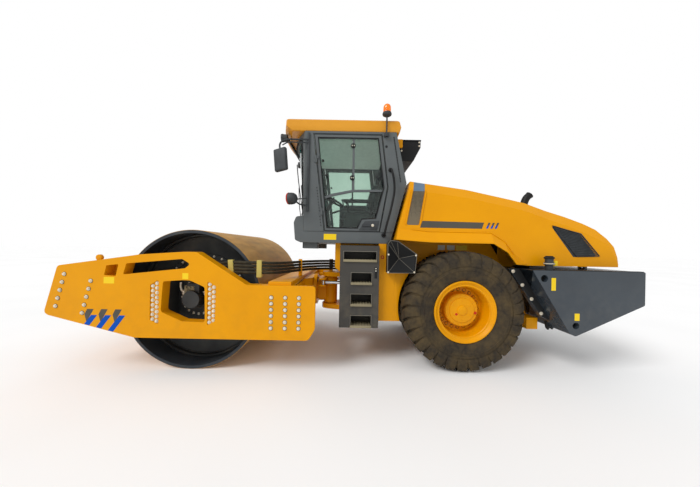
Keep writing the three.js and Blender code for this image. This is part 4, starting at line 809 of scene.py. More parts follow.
# %% Nuts on the web, cover bolts and an oil plug
web_nut = hex_bolt(HUB + Vector((0.018, 0, 0.250)), (1, 0, 0), 0.015)
cover_bolt = hex_bolt(HUB + Vector((0.139, 0, 0.182)), (1, 0, 0), 0.008)
inner_bolt = hex_bolt(HUB + Vector((0.153, 0, 0.118)), (1, 0, 0), 0.007)
fasteners = join([
    scatter(web_nut, round_places(HUB, 20), "web_nuts"),
    scatter(cover_bolt, round_places(HUB, 18, 0.1), "cover_bolts"),
    scatter(inner_bolt, round_places(HUB, 6), "inner_bolts"),
], "wheel_bolts")
both_sides(fasteners, "wheel_bolts", "wheel_left", YELLOW, "wheel_right")
# A thin dark disc under each cover bolt and each web nut is painted shadow round its head.
dark_disc = bar(HUB + Vector((0.1362, 0, 0.182)), HUB + Vector((0.1395, 0, 0.182)), 0.0125,
                "bolt_shade_disc")
nut_disc = bar(HUB + Vector((0.0178, 0, 0.250)), HUB + Vector((0.0190, 0, 0.250)), 0.024,
               "nut_shade_disc")
dark_discs = join([scatter(dark_disc, round_places(HUB, 18, 0.1), "bolt_shade_rings"),
              scatter(nut_disc, round_places(HUB, 20), "nut_shade_rings")], "wheel_bolt_shade_rings")
both_sides(dark_discs, "wheel_bolt_shade_rings", "wheel_left", SEAL, "wheel_right")
plugs = [bar(HUB + Vector((0.144, y, z)), HUB + Vector((0.156, y, z)), 0.018, "oil_plug")
         for y, z in ((0.168, -0.03), (-0.07, -0.05))]
plug = join([round_edges(piece, 0.003) for piece in plugs], "oil_plug")
both_sides(plug, "oil_plug", "wheel_left", RED, "wheel_right")
print("fasteners on both wheels")

# %% [markdown]
# ## Drum
# The drum is a plate 40 mm thick, rolled to a ring and welded, with an end plate set far inside
# each edge. The ring and the heads are spun with many steps, because their outline is the
# machine's most visible curve. A weld bead is a thin torus.

# %% Shell
low, high = (Vector(corner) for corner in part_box("drum_shell"))
DRUM = (low + high) / 2
DRUM_RADIUS = DRUM.z
DRUM_HALF = (high.x - low.x) / 2
shell_inner = DRUM_RADIUS - 0.040
shell = turned([
    (shell_inner, -DRUM_HALF), (DRUM_RADIUS - 0.006, -DRUM_HALF), (DRUM_RADIUS, 0.006 - DRUM_HALF),
    (DRUM_RADIUS, DRUM_HALF - 0.006), (DRUM_RADIUS - 0.006, DRUM_HALF), (shell_inner, DRUM_HALF),
    (shell_inner, -DRUM_HALF),
], (0, DRUM.y, DRUM.z), "drum_shell_steel", steps=180)
smooth(shell, 30)
dress(shell, "drum", DRUM_STEEL, ["drum_shell"])
print("drum shell radius", round(DRUM_RADIUS, 3), "half width", round(DRUM_HALF, 3))

# %% Left head with its stiffening ring, weld bead and bolts, and its twin
HEAD_FACE = DRUM_HALF - 0.320
edge = shell_inner - 0.0003
shaft_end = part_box("drum_head_left")[1][0]
head = turned([
    (0, HEAD_FACE - 0.040), (edge, HEAD_FACE - 0.040), (edge, HEAD_FACE + 0.055),
    (edge - 0.008, HEAD_FACE + 0.060), (edge - 0.026, HEAD_FACE + 0.060),
    (edge - 0.030, HEAD_FACE + 0.054), (edge - 0.032, HEAD_FACE + 0.006), (edge - 0.045, HEAD_FACE),
    (0.56, HEAD_FACE), (0.552, HEAD_FACE + 0.012), (0.500, HEAD_FACE + 0.012), (0.492, HEAD_FACE),
    (0.270, HEAD_FACE), (0.266, HEAD_FACE + 0.016), (0.205, HEAD_FACE + 0.016), (0.200, HEAD_FACE),
    (0.080, HEAD_FACE), (0.080, shaft_end), (0, shaft_end),
], (0, DRUM.y, DRUM.z), "drum_head_left_steel", steps=120)
smooth(head, 30)
other_head = mirror_twin(head, "drum_head_right_steel")
dress(head, "drum", DRUM_HEAD, ["drum_head_left"])
dress(other_head, "drum", DRUM_HEAD, ["drum_head_right"])

deselect()
bpy.ops.mesh.primitive_torus_add(
    major_radius=edge - 0.038, minor_radius=0.008, major_segments=120, minor_segments=10,
    location=(HEAD_FACE + 0.004, DRUM.y, DRUM.z), rotation=(0, math.pi / 2, 0))
bead = settle(bpy.context.object, "weld_bead")
head_bolt = hex_bolt((HEAD_FACE + 0.016, DRUM.y, DRUM.z + 0.235), (1, 0, 0), 0.016)
plate_bolt = hex_bolt((HEAD_FACE + 0.012, DRUM.y, DRUM.z + 0.526), (1, 0, 0), 0.012)
centre = (0, DRUM.y, DRUM.z)
both_sides(scatter(head_bolt, round_places(centre, 20), "drum_bolts"),
           "drum_bolts", "drum", ZINC)
both_sides(scatter(plate_bolt, round_places(centre, 30), "drum_ring_bolts"),
           "drum_ring_bolts", "drum", ZINC)
both_sides(bead, "drum_weld", "drum", DRUM_HEAD)
print("heads, welds and 100 bolts")

# %% [markdown]
# ## Yoke
# Two thick side plates hold the drum. The bolts of the carriers, the crossbeams and the rear
# plates show in rows: a zinc-plated head on a washer, in a bored seat whose shade is painted as
# a thin dark ring. One bolt is copied to all places.

# %% Bolt rows on a side plate
low, high = (Vector(corner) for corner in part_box("side_plate_left"))
YOKE_FACE = high.x
POCKET_FACE = YOKE_FACE - 0.012


def column(y, top, pitch, count, lean=0.0):
    return [(y - lean * k, top - pitch * k) for k in range(count)]


nose_rows = column(DRUM.y - 1.373, 1.150, 0.093, 5, 0.0235)
nose_rows += column(DRUM.y - 1.066, 1.077, 0.093, 5, 0.0232)
rear_rows = [place for y in (-0.899, -0.737, -0.579) for place in column(y, 0.923, 0.0708, 6)]
pocket_rows = column(DRUM.y - 0.352, 1.030, 0.055, 8) + column(DRUM.y - 0.305, 1.062, 0.055, 9)
pocket_rows += column(DRUM.y + 0.307, 1.060, 0.055, 9) + column(DRUM.y + 0.354, 1.028, 0.055, 8)
places = [(YOKE_FACE, y, z) for y, z in nose_rows + rear_rows]
places += [(POCKET_FACE, y, z) for y, z in pocket_rows]
# A thin dark disc under each washer is painted shade of the bored seat round the bolt.
shade_ring = bar((0, 0, 0), (0.0012, 0, 0), 0.026, "shade_ring", sides=20)
round_edges(shade_ring, 0.0004, 1)
yoke_bolt = hex_bolt((0.0012, 0, 0), (1, 0, 0), 0.0165)
yoke_bolts = scatter(yoke_bolt, places, "yoke_bolts")
dark_discs = scatter(shade_ring, places[:len(nose_rows + rear_rows)], "bolt_shade_rings")
both_sides(yoke_bolts, "yoke_bolts", "front_frame", ZINC)
both_sides(dark_discs, "bolt_shade_rings", "front_frame", SEAL)
print(len(places), "bolts on each side plate")

# %% Blue and grey stripes at the yoke's nose
# Plain films: three grey tips, each with a blue bar that runs down to the plate's lower edge.
def lower_edge(y):
    """Height of the side plate's sloping lower edge."""
    return 0.676 - 0.247 * (y + 3.484) + 0.006


def film(points, x, name, finish, body, slot):
    """A thin film on a side face, and its twin on the other side."""
    piece = plate_yz(points, x, x + 0.0009, name)
    return both_sides(piece, name, body, finish)


BAR_SLOPE = 0.621
for k in range(3):
    shift = 0.1625 * k
    tip = [(-3.022, 0.752), (-2.947, 0.752), (-3.012, 0.630), (-3.030, 0.606), (-3.052, 0.692)]
    film([(y + shift, z) for y, z in tip], YOKE_FACE, f"stripe_tip_{k + 1}", DECAL_GREY,
         "front_frame", "dark_paint")
    left, right = -2.975 + shift, -2.905 + shift
    foot_left, foot_right = (
        top + (lower_edge(top) - 0.683) * BAR_SLOPE for top in (left, right))
    film([(left, 0.683), (right, 0.683), (foot_right, lower_edge(foot_right)),
          (foot_left, lower_edge(foot_left))],
         YOKE_FACE, f"stripe_bar_{k + 1}", DECAL_BLUE, "front_frame", "dark_paint")
print("stripes in place")

# %% Blank films and the nose's lifting eye
for name, y0, y1, z0, z1 in (
    ("film_nose", -2.838, -2.715, 1.050, 1.125), ("film_window", -1.930, -1.860, 1.118, 1.186),
):
    film([(y0, z0), (y1, z0), (y1, z1), (y0, z1)], YOKE_FACE, name, DECAL_YELLOW,
         "front_frame", "yellow_paint")
lug = round_edges(bar((1.150, -2.950, 1.345), (1.185, -2.950, 1.345), 0.036, "lifting_lug"), 0.004)
both_sides(lug, "lifting_lug", "front_frame", YELLOW)
slot_back = plate_yz([(-2.880, 1.110), (-2.640, 1.120), (-2.620, 1.300), (-2.860, 1.300)],
                     1.096, 1.1055, "slot_back")
both_sides(round_edges(slot_back, 0.003), "slot_back", "front_frame", YELLOW)
print("blank films and lugs in place")

# %% [markdown]
# ## Drum motor in the window
# Through the yoke's window the carrier's flange, its motor and two hose elbows show. The elbows
# are bent tubes with a collar; the flange is turned, and the valve is a block with hexagon caps.

# %% Flange, elbows and their collars
plate_x = DRUM_HALF - 0.190
flange = turned([
    (0.106, 0.001), (0.250, 0.001), (0.250, 0.018), (0.244, 0.024), (0.150, 0.024), (0.145, 0.034),
    (0.125, 0.034), (0.120, 0.024), (0.106, 0.024), (0.106, 0.001),
], (plate_x, DRUM.y, DRUM.z), "carrier_flange", steps=72)
both_sides(flange, "carrier_flange", "front_frame", DRUM_HEAD)
flange_bolt = hex_bolt((plate_x + 0.024, DRUM.y, DRUM.z + 0.215), (1, 0, 0), 0.012)
both_sides(scatter(flange_bolt, round_places((0, DRUM.y, DRUM.z), 20), "flange_bolts"),
           "flange_bolts", "front_frame", ZINC)
elbows = []
for side, reach in ((-1, 0.150), (1, 0.080)):
    y = DRUM.y + side * 0.135
    elbow = tube([
        (0.99, y + side * 0.045, 1.045), (0.99, y + side * 0.045, 0.985),
        (0.99, y + side * 0.030, 0.945), (0.99, y, 0.930), (0.99, y - side * 0.03, 0.930),
    ] if side < 0 else [
        (0.99, y - 0.03, 0.930), (0.99, y, 0.930), (0.99, y + reach * 0.5, 0.940),
        (0.99, y + reach, 0.960),
    ], 0.013, "elbow")
    collar = bar((0.99, y - 0.012, 0.930), (0.99, y + 0.012, 0.930), 0.024, "collar", 6)
    base = bar((0.985, y, 0.895), (0.985, y, 0.925), 0.028, "collar_base", 20)
    elbows += [elbow, round_edges(collar, 0.002), round_edges(base, 0.003)]
both_sides(join(elbows, "motor_elbows"), "motor_elbows", "front_frame", ZINC)
cover = block((DRUM_HALF - 0.075, DRUM.y - 0.085, 0.80), (DRUM_HALF - 0.035, DRUM.y - 0.01, 0.865),
              "motor_cover")
round_edges(cover, 0.006, 3)
both_sides(cover, "motor_cover", "front_frame", ZINC)
body = block((1.000, DRUM.y - 0.105, 0.895), (1.045, DRUM.y + 0.030, 1.015), "valve")
valve = [round_edges(body, 0.008, 3)]
valve += [bar((1.000, DRUM.y + y, z), (1.058, DRUM.y + y, z), 0.013, "valve_cap", 6)
          for y, z in ((-0.080, 0.990), (-0.035, 0.990), (0.008, 0.990),
                       (-0.060, 0.920), (0.0, 0.920))]
both_sides(join(valve, "motor_valve"), "motor_valve", "front_frame", DUSTY)
print("motor details at x", round(plate_x, 3))

# %% [markdown]
# ## Hydraulic hoses
# Four braided hoses leave the drum's motor, are held by two clamps inside the left side plate,
# cross the beam and pass the pivot at a guide, where the machine bends. Each is one tube along
# its route. The run over the pivot is cut at the guide into two halves.

# %% Routes, in metres
HOSES, HOSE_RADIUS, PITCH, HOSE_Z = 4, 0.0180, 0.040, 1.180
CLAMPS = (-1.427, -1.090)
SLANT = 0.45
HOSE_X = YOKE_FACE - 0.130 - 0.019
GUIDE_X = 0.020 + 0.019
PIVOT_Y = -0.300
hose_runs, front_halves, rear_halves = [], [], []
for k in range(HOSES):
    z = HOSE_Z + PITCH * k
    start_x, start_y = DRUM_HALF - 0.040 - PITCH * k, DRUM.y - 0.020
    block_top = DRUM.z + 0.190
    hose_runs.append(tube([
        (start_x, start_y, block_top), (start_x, start_y, block_top + 0.020),
        (start_x, start_y + 0.003, block_top + 0.045), (start_x + 0.025, DRUM.y + 0.120, z - 0.045),
        (HOSE_X - 0.006, DRUM.y + 0.310, z - 0.010), (HOSE_X, CLAMPS[0], z + 0.014),
        (HOSE_X, sum(CLAMPS) / 2, z + 0.014), (HOSE_X, CLAMPS[1], z + 0.014),
        (HOSE_X - 0.060, CLAMPS[1] + 0.130, z + 0.008),
        (0.620, -0.700 - 0.200 * SLANT, z), (0.420, -0.700, z),
    ], HOSE_RADIUS, "drum_hose", resolution=10))
    route = [
        (0.420, -0.700, z), (0.320, -0.655, z), (0.250, PIVOT_Y - 0.300, z),
        (GUIDE_X + 0.030, PIVOT_Y - 0.120, z), (GUIDE_X, PIVOT_Y, z),
        (GUIDE_X + 0.040, PIVOT_Y + 0.090, z), (0.220, PIVOT_Y + 0.140, z), (0.300, -0.110, z),
        (0.300, -0.080, z), (0.300, -0.0606, z),
    ]
    for halves, side in ((front_halves, 1), (rear_halves, -1)):
        half = tube(route, HOSE_RADIUS, "centre_hose", resolution=10)
        edit_all(half)
        bpy.ops.mesh.bisect(
            plane_co=(0, PIVOT_Y, 0), plane_no=(0, side, 0), use_fill=True, clear_outer=True)
        bpy.ops.object.mode_set(mode="OBJECT")
        halves.append(half)
print("routes drawn for", HOSES, "hoses")

# %% Three hose pieces, their clamps and ferrules
drum_run = smooth(join(hose_runs, "drum_hose_run"), 50)
dress(drum_run, "front_frame", HOSE, ["drum_hoses"])
front_run = smooth(join(front_halves, "centre_hoses_front"), 50)
front_run.data.materials.clear()
front_run.data.materials.append(HOSE)
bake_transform(front_run)
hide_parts("centre_hoses")
rear_run = smooth(join(rear_halves, "centre_hoses_rear"), 50)
rear_run.data.materials.clear()
rear_run.data.materials.append(HOSE)
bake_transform(rear_run)

clamps = []
for y, low_z in zip(CLAMPS, (1.172, 1.136)):
    clamp = block((HOSE_X - 0.026, y - 0.030, low_z), (HOSE_X + 0.0240, y + 0.030, 1.345), "clamp")
    clamp.data.transform(Matrix.Translation((0, y, 1.2)) @ Matrix.Rotation(
        math.radians(5 if y < -1.3 else 0), 4, "X") @ Matrix.Translation((0, -y, -1.2)))
    clamps.append(round_edges(clamp, 0.005, 3))
dress(smooth(join(clamps, "hose_clamps")), "front_frame", STRAP_YELLOW)
stand = block((0.440, -0.740, 1.103), (0.464, -0.690, 1.340), "hose_stand")
dress(smooth(round_edges(stand, 0.003)), "front_frame", YELLOW)
tie = block((GUIDE_X + 0.010, PIVOT_Y - 0.015, HOSE_Z - 0.012),
            (GUIDE_X + 0.020, PIVOT_Y + 0.015, HOSE_Z + PITCH * 3 + 0.012), "hose_tie")
dress(smooth(round_edges(tie, 0.002)), "link", BLACK)
ferrule = bar((0, 0, 0), (0, 0.045, 0), 0.019, "ferrule", 6)
round_edges(ferrule, 0.002)
ferrules = scatter(ferrule, [(0.300, -0.106, HOSE_Z + PITCH * k) for k in range(HOSES)], "ferrules")
dress(smooth(ferrules), "rear_frame", ZINC)
print("hoses, clamps, stand, tie and ferrules")

# %% [markdown]
# ## Cab: glass seals, latches and handles
# A pane is held by a rubber seal that runs round its edge. We draw the outline once as a closed
# line, turn that line into a curve, give it a round section and turn it back into a mesh, so the
# corners are mitred like real extruded rubber.

# %% A helper for seals, and the door's seals
def seal_line(points, radius, name, closed=True):
    """A rubber or steel section of round shape along a line with sharp corners."""
    piece = draw_line(list(points) + ([points[0]] if closed else []), name)
    edit_all(piece)
    bpy.ops.mesh.remove_doubles(threshold=1e-5)
    bpy.ops.object.mode_set(mode="OBJECT")
    bpy.ops.object.convert(target="CURVE")
    piece = bpy.context.object
    piece.data.bevel_depth = radius
    piece.data.bevel_resolution = 3
    piece.data.use_fill_caps = not closed
    bpy.ops.object.convert(target="MESH")
    outward(bpy.context.object)
    return bpy.context.object


low, high = (Vector(corner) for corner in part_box("door_left"))
DOOR_FACE = high.x - 0.026
WINDOW = [(-0.445, 2.965), (0.345, 2.965), (0.430, 2.319), (0.330, 1.914), (0.145, 1.899),
          (0.090, 1.779), (-0.312, 1.779)]
window_seal = seal_line([(DOOR_FACE + 0.001, y, z) for y, z in WINDOW], 0.009, "door_window_seal")
both_sides(window_seal, "door_window_seal", "door_left", SEAL, "door_right")
DOOR_EDGE = [(-0.497, 3.008), (0.389, 3.008), (0.480, 2.329), (0.378, 1.738), (-0.338, 1.738)]
door_seal = seal_line([(DOOR_FACE - 0.002, y, z) for y, z in DOOR_EDGE], 0.006, "door_edge_seal")
both_sides(door_seal, "door_edge_seal", "door_left", SEAL, "door_right")
print("seals round door and pane")

# %% Handle panel, latches on the sliding panes, and small knobs
panel = plate_yz([(0.110, 1.752), (0.352, 1.752), (0.378, 1.880), (0.190, 1.872)],
                 DOOR_FACE - 0.002, DOOR_FACE + 0.008, "handle_panel")
round_edges(panel, 0.004, 3)
paddle = block((DOOR_FACE + 0.006, 0.150, 1.800), (DOOR_FACE + 0.022, 0.262, 1.828), "paddle")
round_edges(paddle, 0.007, 3)
lock = bar((DOOR_FACE + 0.005, 0.292, 1.816), (DOOR_FACE + 0.018, 0.292, 1.816), 0.018, "lock")
round_edges(lock, 0.003)
both_sides(join([panel, paddle], "door_handle"), "door_handle", "door_left", PLASTIC,
           "door_right")
both_sides(lock, "door_lock", "door_left", ZINC, "door_right")

discs, studs = [], []
for y, z, radius in ((0.018, 2.864, 0.033), (0.012, 2.440, 0.033), (-0.380, 2.660, 0.018),
                     (-0.330, 2.470, 0.016)):
    disc = turned([(0, 0), (radius, 0), (radius, 0.008), (radius - 0.004, 0.012), (0, 0.014)],
                  (DOOR_FACE - 0.008, y, z), "disc", steps=32)
    discs.append(disc)
    if radius > 0.03:
        for side in (-0.014, 0.014):
            studs.append(bar((DOOR_FACE + 0.004, y + side, z), (DOOR_FACE + 0.009, y + side, z),
                             0.007, "stud", 16))
both_sides(join(discs, "pane_latches"), "pane_latches", "door_left", SEAL,
           "door_right")
both_sides(join(studs, "latch_studs"), "latch_studs", "door_left", DECAL_WHITE,
           "door_right")
rings = []
for radius in (0.044, 0.030, 0.016):
    deselect()
    bpy.ops.mesh.primitive_torus_add(
        major_radius=radius, minor_radius=0.0035, major_segments=40, minor_segments=8,
        location=(DOOR_FACE - 0.030, 0.375, 2.480), rotation=(0, math.pi / 2, 0))
    rings.append(settle(bpy.context.object, "vent_ring"))
both_sides(join(rings, "pane_vent"), "pane_vent", "door_left", PLASTIC,
           "door_right")
print("door fittings")

# %% Studded trim on the rear post, plugs and a blank film on the sill
STUDS = 30
stud = bar((0.7995, 0, 0), (0.806, 0, 0), 0.0075, "stud", 12)
post_top, post_bend = Vector((0, 0.552, 2.980)), Vector((0, 0.650, 2.400))
places = [post_top.lerp(post_bend, k / (STUDS - 1)) for k in range(STUDS)]
both_sides(scatter(stud, places, "post_studs"), "post_studs", "rear_frame", SEAL)
plug = bar((0.7995, 0.455, 2.860), (0.806, 0.455, 2.860), 0.016, "post_plug", 24)
both_sides(round_edges(plug, 0.003), "post_plug", "rear_frame", SEAL)
front_studs = scatter(bar((0.7995, 0, 0), (0.806, 0, 0), 0.0065, "stud", 12),
                      [(0, -0.452 + 0.0047 * k, 2.30 - 0.038 * k) for k in range(14)],
                      "front_studs")
both_sides(front_studs, "front_studs", "rear_frame", SEAL)
floor_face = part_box("cab_floor")[1][0]
film([(-0.350, 1.618), (-0.185, 1.618), (-0.185, 1.694), (-0.350, 1.694)], floor_face,
     "film_sill", DECAL_YELLOW, "rear_frame", "yellow_paint")
print("post trim, plugs and film")

# %% [markdown]
# ### Windshield, wiper and lamps
# The screen bows out, so its seal follows the same curve: the outline is drawn point by point on
# the bowed surface.

# %% Screen seal and wiper
def screen_y(x, z):
    """How far forward the bowed screen stands."""
    bow = 0.118 + (0.163 - 0.118) * (z - 1.931) / 0.448
    if z > 2.379:
        bow = 0.163 + (0.250 - 0.163) * (z - 2.379) / 0.671
    return -0.62 - bow * (1 - (x / 0.8) ** 2)


half, foot, top = 0.690, 1.981, 2.990
edge_points = [(half * k / 6, screen_y(half * k / 6, foot) - 0.001, foot) for k in range(-6, 7)]
edge_points += [(half, screen_y(half, foot + (top - foot) * k / 6) - 0.001,
                 foot + (top - foot) * k / 6) for k in range(1, 7)]
edge_points += [(half * k / 6, screen_y(half * k / 6, top) - 0.001, top) for k in range(5, -7, -1)]
edge_points += [(-half, screen_y(-half, foot + (top - foot) * k / 6) - 0.001,
                 foot + (top - foot) * k / 6) for k in range(5, 0, -1)]
screen_seal = smooth(seal_line(edge_points, 0.010, "screen_seal"), 60)
dress(screen_seal, "rear_frame", SEAL)
blade_points = [(0.05 + 0.30 * k / 6, screen_y(0.05 + 0.30 * k / 6, 2.12 + 0.62 * k / 6) - 0.022,
                 2.12 + 0.62 * k / 6) for k in range(7)]
wiper = join([
    tube(blade_points, 0.007, "wiper_blade", 4),
    tube([(0.10, screen_y(0.10, 1.95) - 0.045, 1.955), (0.14, screen_y(0.14, 2.15) - 0.050, 2.15),
          (0.20, screen_y(0.20, 2.43) - 0.028, 2.43)], 0.006, "wiper_arm", 6),
    bar((0.10, screen_y(0.10, 1.95) + 0.01, 1.955), (0.10, screen_y(0.10, 1.95) - 0.055, 1.955),
        0.016, "wiper_pivot"),
], "screen_wiper")
dress(smooth(wiper), "rear_frame", SEAL)
print("screen seal and wiper")

# %% Lenses of the four lamps
lamp_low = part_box("roof_lamps")[0]
roof_lens = turned([(0, -0.004), (0.030, -0.003), (0.044, 0.0), (0.046, 0.004), (0, 0.004)],
                   (0.600, lamp_low[1] - 0.001, 3.028), "roof_lens", axis=(0, 1, 0), steps=40)
bezel = turned([(0.042, -0.006), (0.053, -0.006), (0.056, 0.0), (0.056, 0.022), (0.050, 0.024),
                (0.042, 0.0), (0.042, -0.006)],
               (0.600, lamp_low[1] - 0.001, 3.028), "roof_bezel", axis=(0, 1, 0), steps=40)
both_sides(roof_lens, "roof_lens", "rear_frame", LAMP)
both_sides(bezel, "roof_bezel", "rear_frame", PLASTIC)
nose_lens = block((0.560, -0.640, 1.512), (0.720, -0.628, 1.585), "nose_lens")
nose_frame = seal_line([(0.552, -0.632, 1.506), (0.728, -0.632, 1.506), (0.728, -0.632, 1.591),
                        (0.552, -0.632, 1.591)], 0.007, "nose_frame")
both_sides(round_edges(nose_lens, 0.005, 3), "nose_lens", "rear_frame", LAMP)
both_sides(nose_frame, "nose_frame", "rear_frame", PLASTIC)
print("lamps")

# %% [markdown]
# ### Beacon, grab rails and mirrors
# The beacon's dome is a spun, ribbed lens on a dark foot. Rails and mirror arms are bent tubes.
# The mirror's head is a flat case with big rounds, turned out towards the driver's eye. A round
# side lamp with a red lens stands below it: its case and lens are spun about one axis, then both
# are turned and placed together.

# %% Beacon
beacon_low, beacon_high = (Vector(corner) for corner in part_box("beacon"))
bx, by = (beacon_low.x + beacon_high.x) / 2, (beacon_low.y + beacon_high.y) / 2
base_z = beacon_high.z - 0.153
ribs_profile = [(0.049 + (0.0015 if k % 2 else 0), 0.006 + 0.008 * k) for k in range(7)]
dome = turned([(0.0, 0.0), (0.050, 0.0)] + ribs_profile + [
    (0.049, 0.066), (0.045, 0.082), (0.037, 0.096), (0.024, 0.106), (0.010, 0.110), (0.0, 0.111)],
    (bx, by, base_z + 0.040), "beacon_dome", axis=(0, 0, 1), steps=48)
dress(smooth(dome, 50), "rear_frame", AMBER, ["beacon"])
foot = turned([(0, -0.006), (0.040, -0.006), (0.056, 0.004), (0.060, 0.012), (0.060, 0.024),
               (0.054, 0.030), (0.054, 0.040), (0, 0.040)],
              (bx, by, base_z), "beacon_foot", axis=(0, 0, 1), steps=48)
pole = bar((bx, by, beacon_low.z + 0.010), (bx, by, base_z), 0.010, "beacon_pole", 20)
bracket = block((0.8005, by - 0.030, beacon_low.z), (bx + 0.012, by + 0.030, beacon_low.z + 0.050),
                "beacon_bracket")
round_edges(bracket, 0.006, 3)
dress(smooth(join([foot, pole, bracket], "beacon_stand")), "rear_frame", PLASTIC)
print("beacon at", round(bx, 3), round(by, 3))

# %% Grab rails
RAIL_X = 0.875
rail = tube([(0.806, 0.515, 2.549), (0.845, 0.517, 2.547), (RAIL_X, 0.530, 2.500),
             (RAIL_X, 0.560, 2.300), (RAIL_X, 0.540, 2.129), (RAIL_X, 0.460, 1.789),
             (0.850, 0.443, 1.704), (0.800, 0.440, 1.689)], 0.014, "grab_rail", 14, 6)
feet = [bar((0.7945 + shift, y, z), (0.808 + shift, y, z), 0.030, "rail_foot", 32)
        for shift, y, z in ((0.006, 0.515, 2.549), (0.0, 0.440, 1.689))]
rail = smooth(join([rail] + [round_edges(piece, 0.004) for piece in feet], "grab_rail_left_tube"),
              45)
other_rail = mirror_twin(rail, "grab_rail_right_tube")
dress(rail, "rear_frame", BLACK, ["grab_rail_left"])
dress(other_rail, "rear_frame", BLACK, ["grab_rail_right"])
print("grab rails")

# %% Mirrors, their arms and the strip on the post
strip = block((0.8005, -0.585, 1.979), (0.820, -0.555, 3.020), "mirror_strip")
round_edges(strip, 0.004)
arms = [
    tube([(0.814, -0.570, 2.930), (0.870, -0.720, 2.905), (0.930, -0.850, 2.870),
          (0.950, -0.905, 2.820), (0.955, -0.905, 2.720)], 0.011, "upper_arm", 10),
    tube([(0.814, -0.570, 2.890), (0.870, -0.700, 2.868), (0.925, -0.820, 2.840),
          (0.945, -0.880, 2.800)], 0.008, "upper_stay", 10),
    tube([(0.814, -0.570, 2.060), (0.880, -0.670, 2.072), (0.925, -0.715, 2.110)],
         0.010, "lower_arm", 10),
    tube([(0.814, -0.570, 2.160), (0.870, -0.640, 2.140), (0.920, -0.700, 2.120)],
         0.007, "lower_stay", 10),
]
case = block((-0.030, -0.094, -0.145), (0.026, 0.094, 0.145), "mirror_case")
round_edges(case, 0.022, 4)
turn_out = Matrix.Translation((0.965, -0.893, 2.607)) @ Matrix.Rotation(math.radians(-24), 4, "Z")
mirror_place = turn_out @ Matrix.Rotation(math.radians(6), 4, "X")
case.data.transform(mirror_place)
bowl = turned([(0, 0.075), (0.030, 0.072), (0.056, 0.056), (0.070, 0.030), (0.075, 0.0),
               (0.075, -0.030), (0, -0.030)], (0, 0, 0), "lamp_case", axis=(0, 1, 0), steps=48)
lamp_place = Matrix.Translation((0.925, -0.755, 2.128)) @ Matrix.Rotation(
    math.radians(-14), 4, "Z")
bowl.data.transform(lamp_place)
mirror_body = smooth(join([strip, case, bowl] + arms, "mirror_set_left_body"), 45)
other_body = mirror_twin(mirror_body, "mirror_set_right_body")
dress(mirror_body, "rear_frame", PLASTIC, ["mirror_set_left"])
dress(other_body, "rear_frame", PLASTIC, ["mirror_set_right"])
pane = block((-0.0325, -0.080, -0.130), (-0.0295, 0.080, 0.130), "mirror_pane")
round_edges(pane, 0.001, 1)
pane.data.transform(mirror_place)
both_sides(pane, "mirror_pane", "rear_frame", MIRROR)
lens = turned([(0.0745, -0.030), (0.0765, -0.034), (0.073, -0.046), (0.050, -0.056), (0, -0.060),
               (0, -0.030)], (0, 0, 0), "side_lamp_lens", axis=(0, 1, 0), steps=48)
lens.data.transform(lamp_place)
both_sides(lens, "side_lamp_lens", "rear_frame", RED)
print("mirror sets")

# %% [markdown]
# ### Inside the cab
# The interior is seen only through green glass, so it needs clear large shapes: a pale
# headliner that glows a little, as if lit, a console with the wheel, a side console with two
# levers, and the seat. All of this is a guess. Cloth over foam bulges between its seams.
# We get that by filling a closed cushion with a little pressure in the cloth simulation.

# %% Headliner, console, wheel and gauges
liner = block((-0.740, -0.560, 3.012), (0.740, 0.520, 3.046), "headliner")
round_edges(liner, 0.012, 3)
LINER, tree, shader = finish_of("pale_headliner_felt", Roughness=0.95, Emission_Strength=0.3)
felt = ramp(tree, noise(tree, 0.05, 4), [(0.3, colour("c3c9c2")), (0.7, colour("d2d7d0"))])
connect(tree, felt, shader, "Base Color")
connect(tree, felt, shader, "Emission Color")
bump(tree, shader, noise(tree, 0.004, 3), 0.0006, 0.5)
dress(smooth(liner), "rear_frame", LINER)

side_box = block((-0.610, -0.200, 1.736), (-0.420, 0.440, 2.270), "side_console")
round_edges(side_box, 0.025, 4)
LEVER_FEET = (-0.13, -0.04)
levers = [bar((-0.500, y, 2.265), (-0.490, y - 0.020, 2.360), 0.010, "lever")
          for y in LEVER_FEET]
knobs = []
for y in LEVER_FEET:
    knob = bar((-0.490, y - 0.020, 2.355), (-0.488, y - 0.026, 2.392), 0.018, "knob")
    knobs.append(round_edges(knob, 0.006, 3))
dress(smooth(join([side_box] + levers + knobs, "side_console")), "rear_frame", PLASTIC)

console = finish_node("steering_console", PLASTIC, 0.004)
pick(console)
wheel_centre = Vector((0, -0.300, 2.277))
tilt = Vector((0, 0.110, 0.210)).normalized()
deselect()
bpy.ops.mesh.primitive_torus_add(
    major_radius=0.190, minor_radius=0.016, major_segments=64, minor_segments=12,
    location=wheel_centre, rotation=tilt.to_track_quat("Z", "Y").to_euler())
grip = settle(bpy.context.object, "wheel_grip")
spokes = [grip]
side_axis = Vector((1, 0, 0))
front_axis = tilt.cross(side_axis)
for angle in (-90, 30, 150):
    way = (side_axis * math.cos(math.radians(angle)) + front_axis * math.sin(math.radians(angle)))
    spokes.append(bar(wheel_centre + way * 0.02, wheel_centre + way * 0.185, 0.012, "spoke", 12))
hub_cap = turned([(0, -0.02), (0.035, -0.02), (0.045, 0.0), (0.035, 0.016), (0, 0.020)],
                 wheel_centre, "hub_cap", axis=tuple(tilt), steps=32)
spokes.append(hub_cap)
dress(smooth(join(spokes, "steering_wheel")), "rear_frame", SEAL)
display = block((-0.10, -0.470, 2.095), (0.10, -0.440, 2.215), "gauge_panel")
round_edges(display, 0.010, 3)
dress(smooth(display), "rear_frame", PLASTIC)
armrest_box = block((0.36, -0.10, 1.70), (0.50, 0.32, 2.02), "side_console")
round_edges(armrest_box, 0.030, 4)
both_sides(armrest_box, "side_console", "rear_frame", PLASTIC)
lever = tube([(0.43, -0.02, 2.01), (0.43, -0.05, 2.10), (0.42, -0.06, 2.17)], 0.009, "lever", 8)
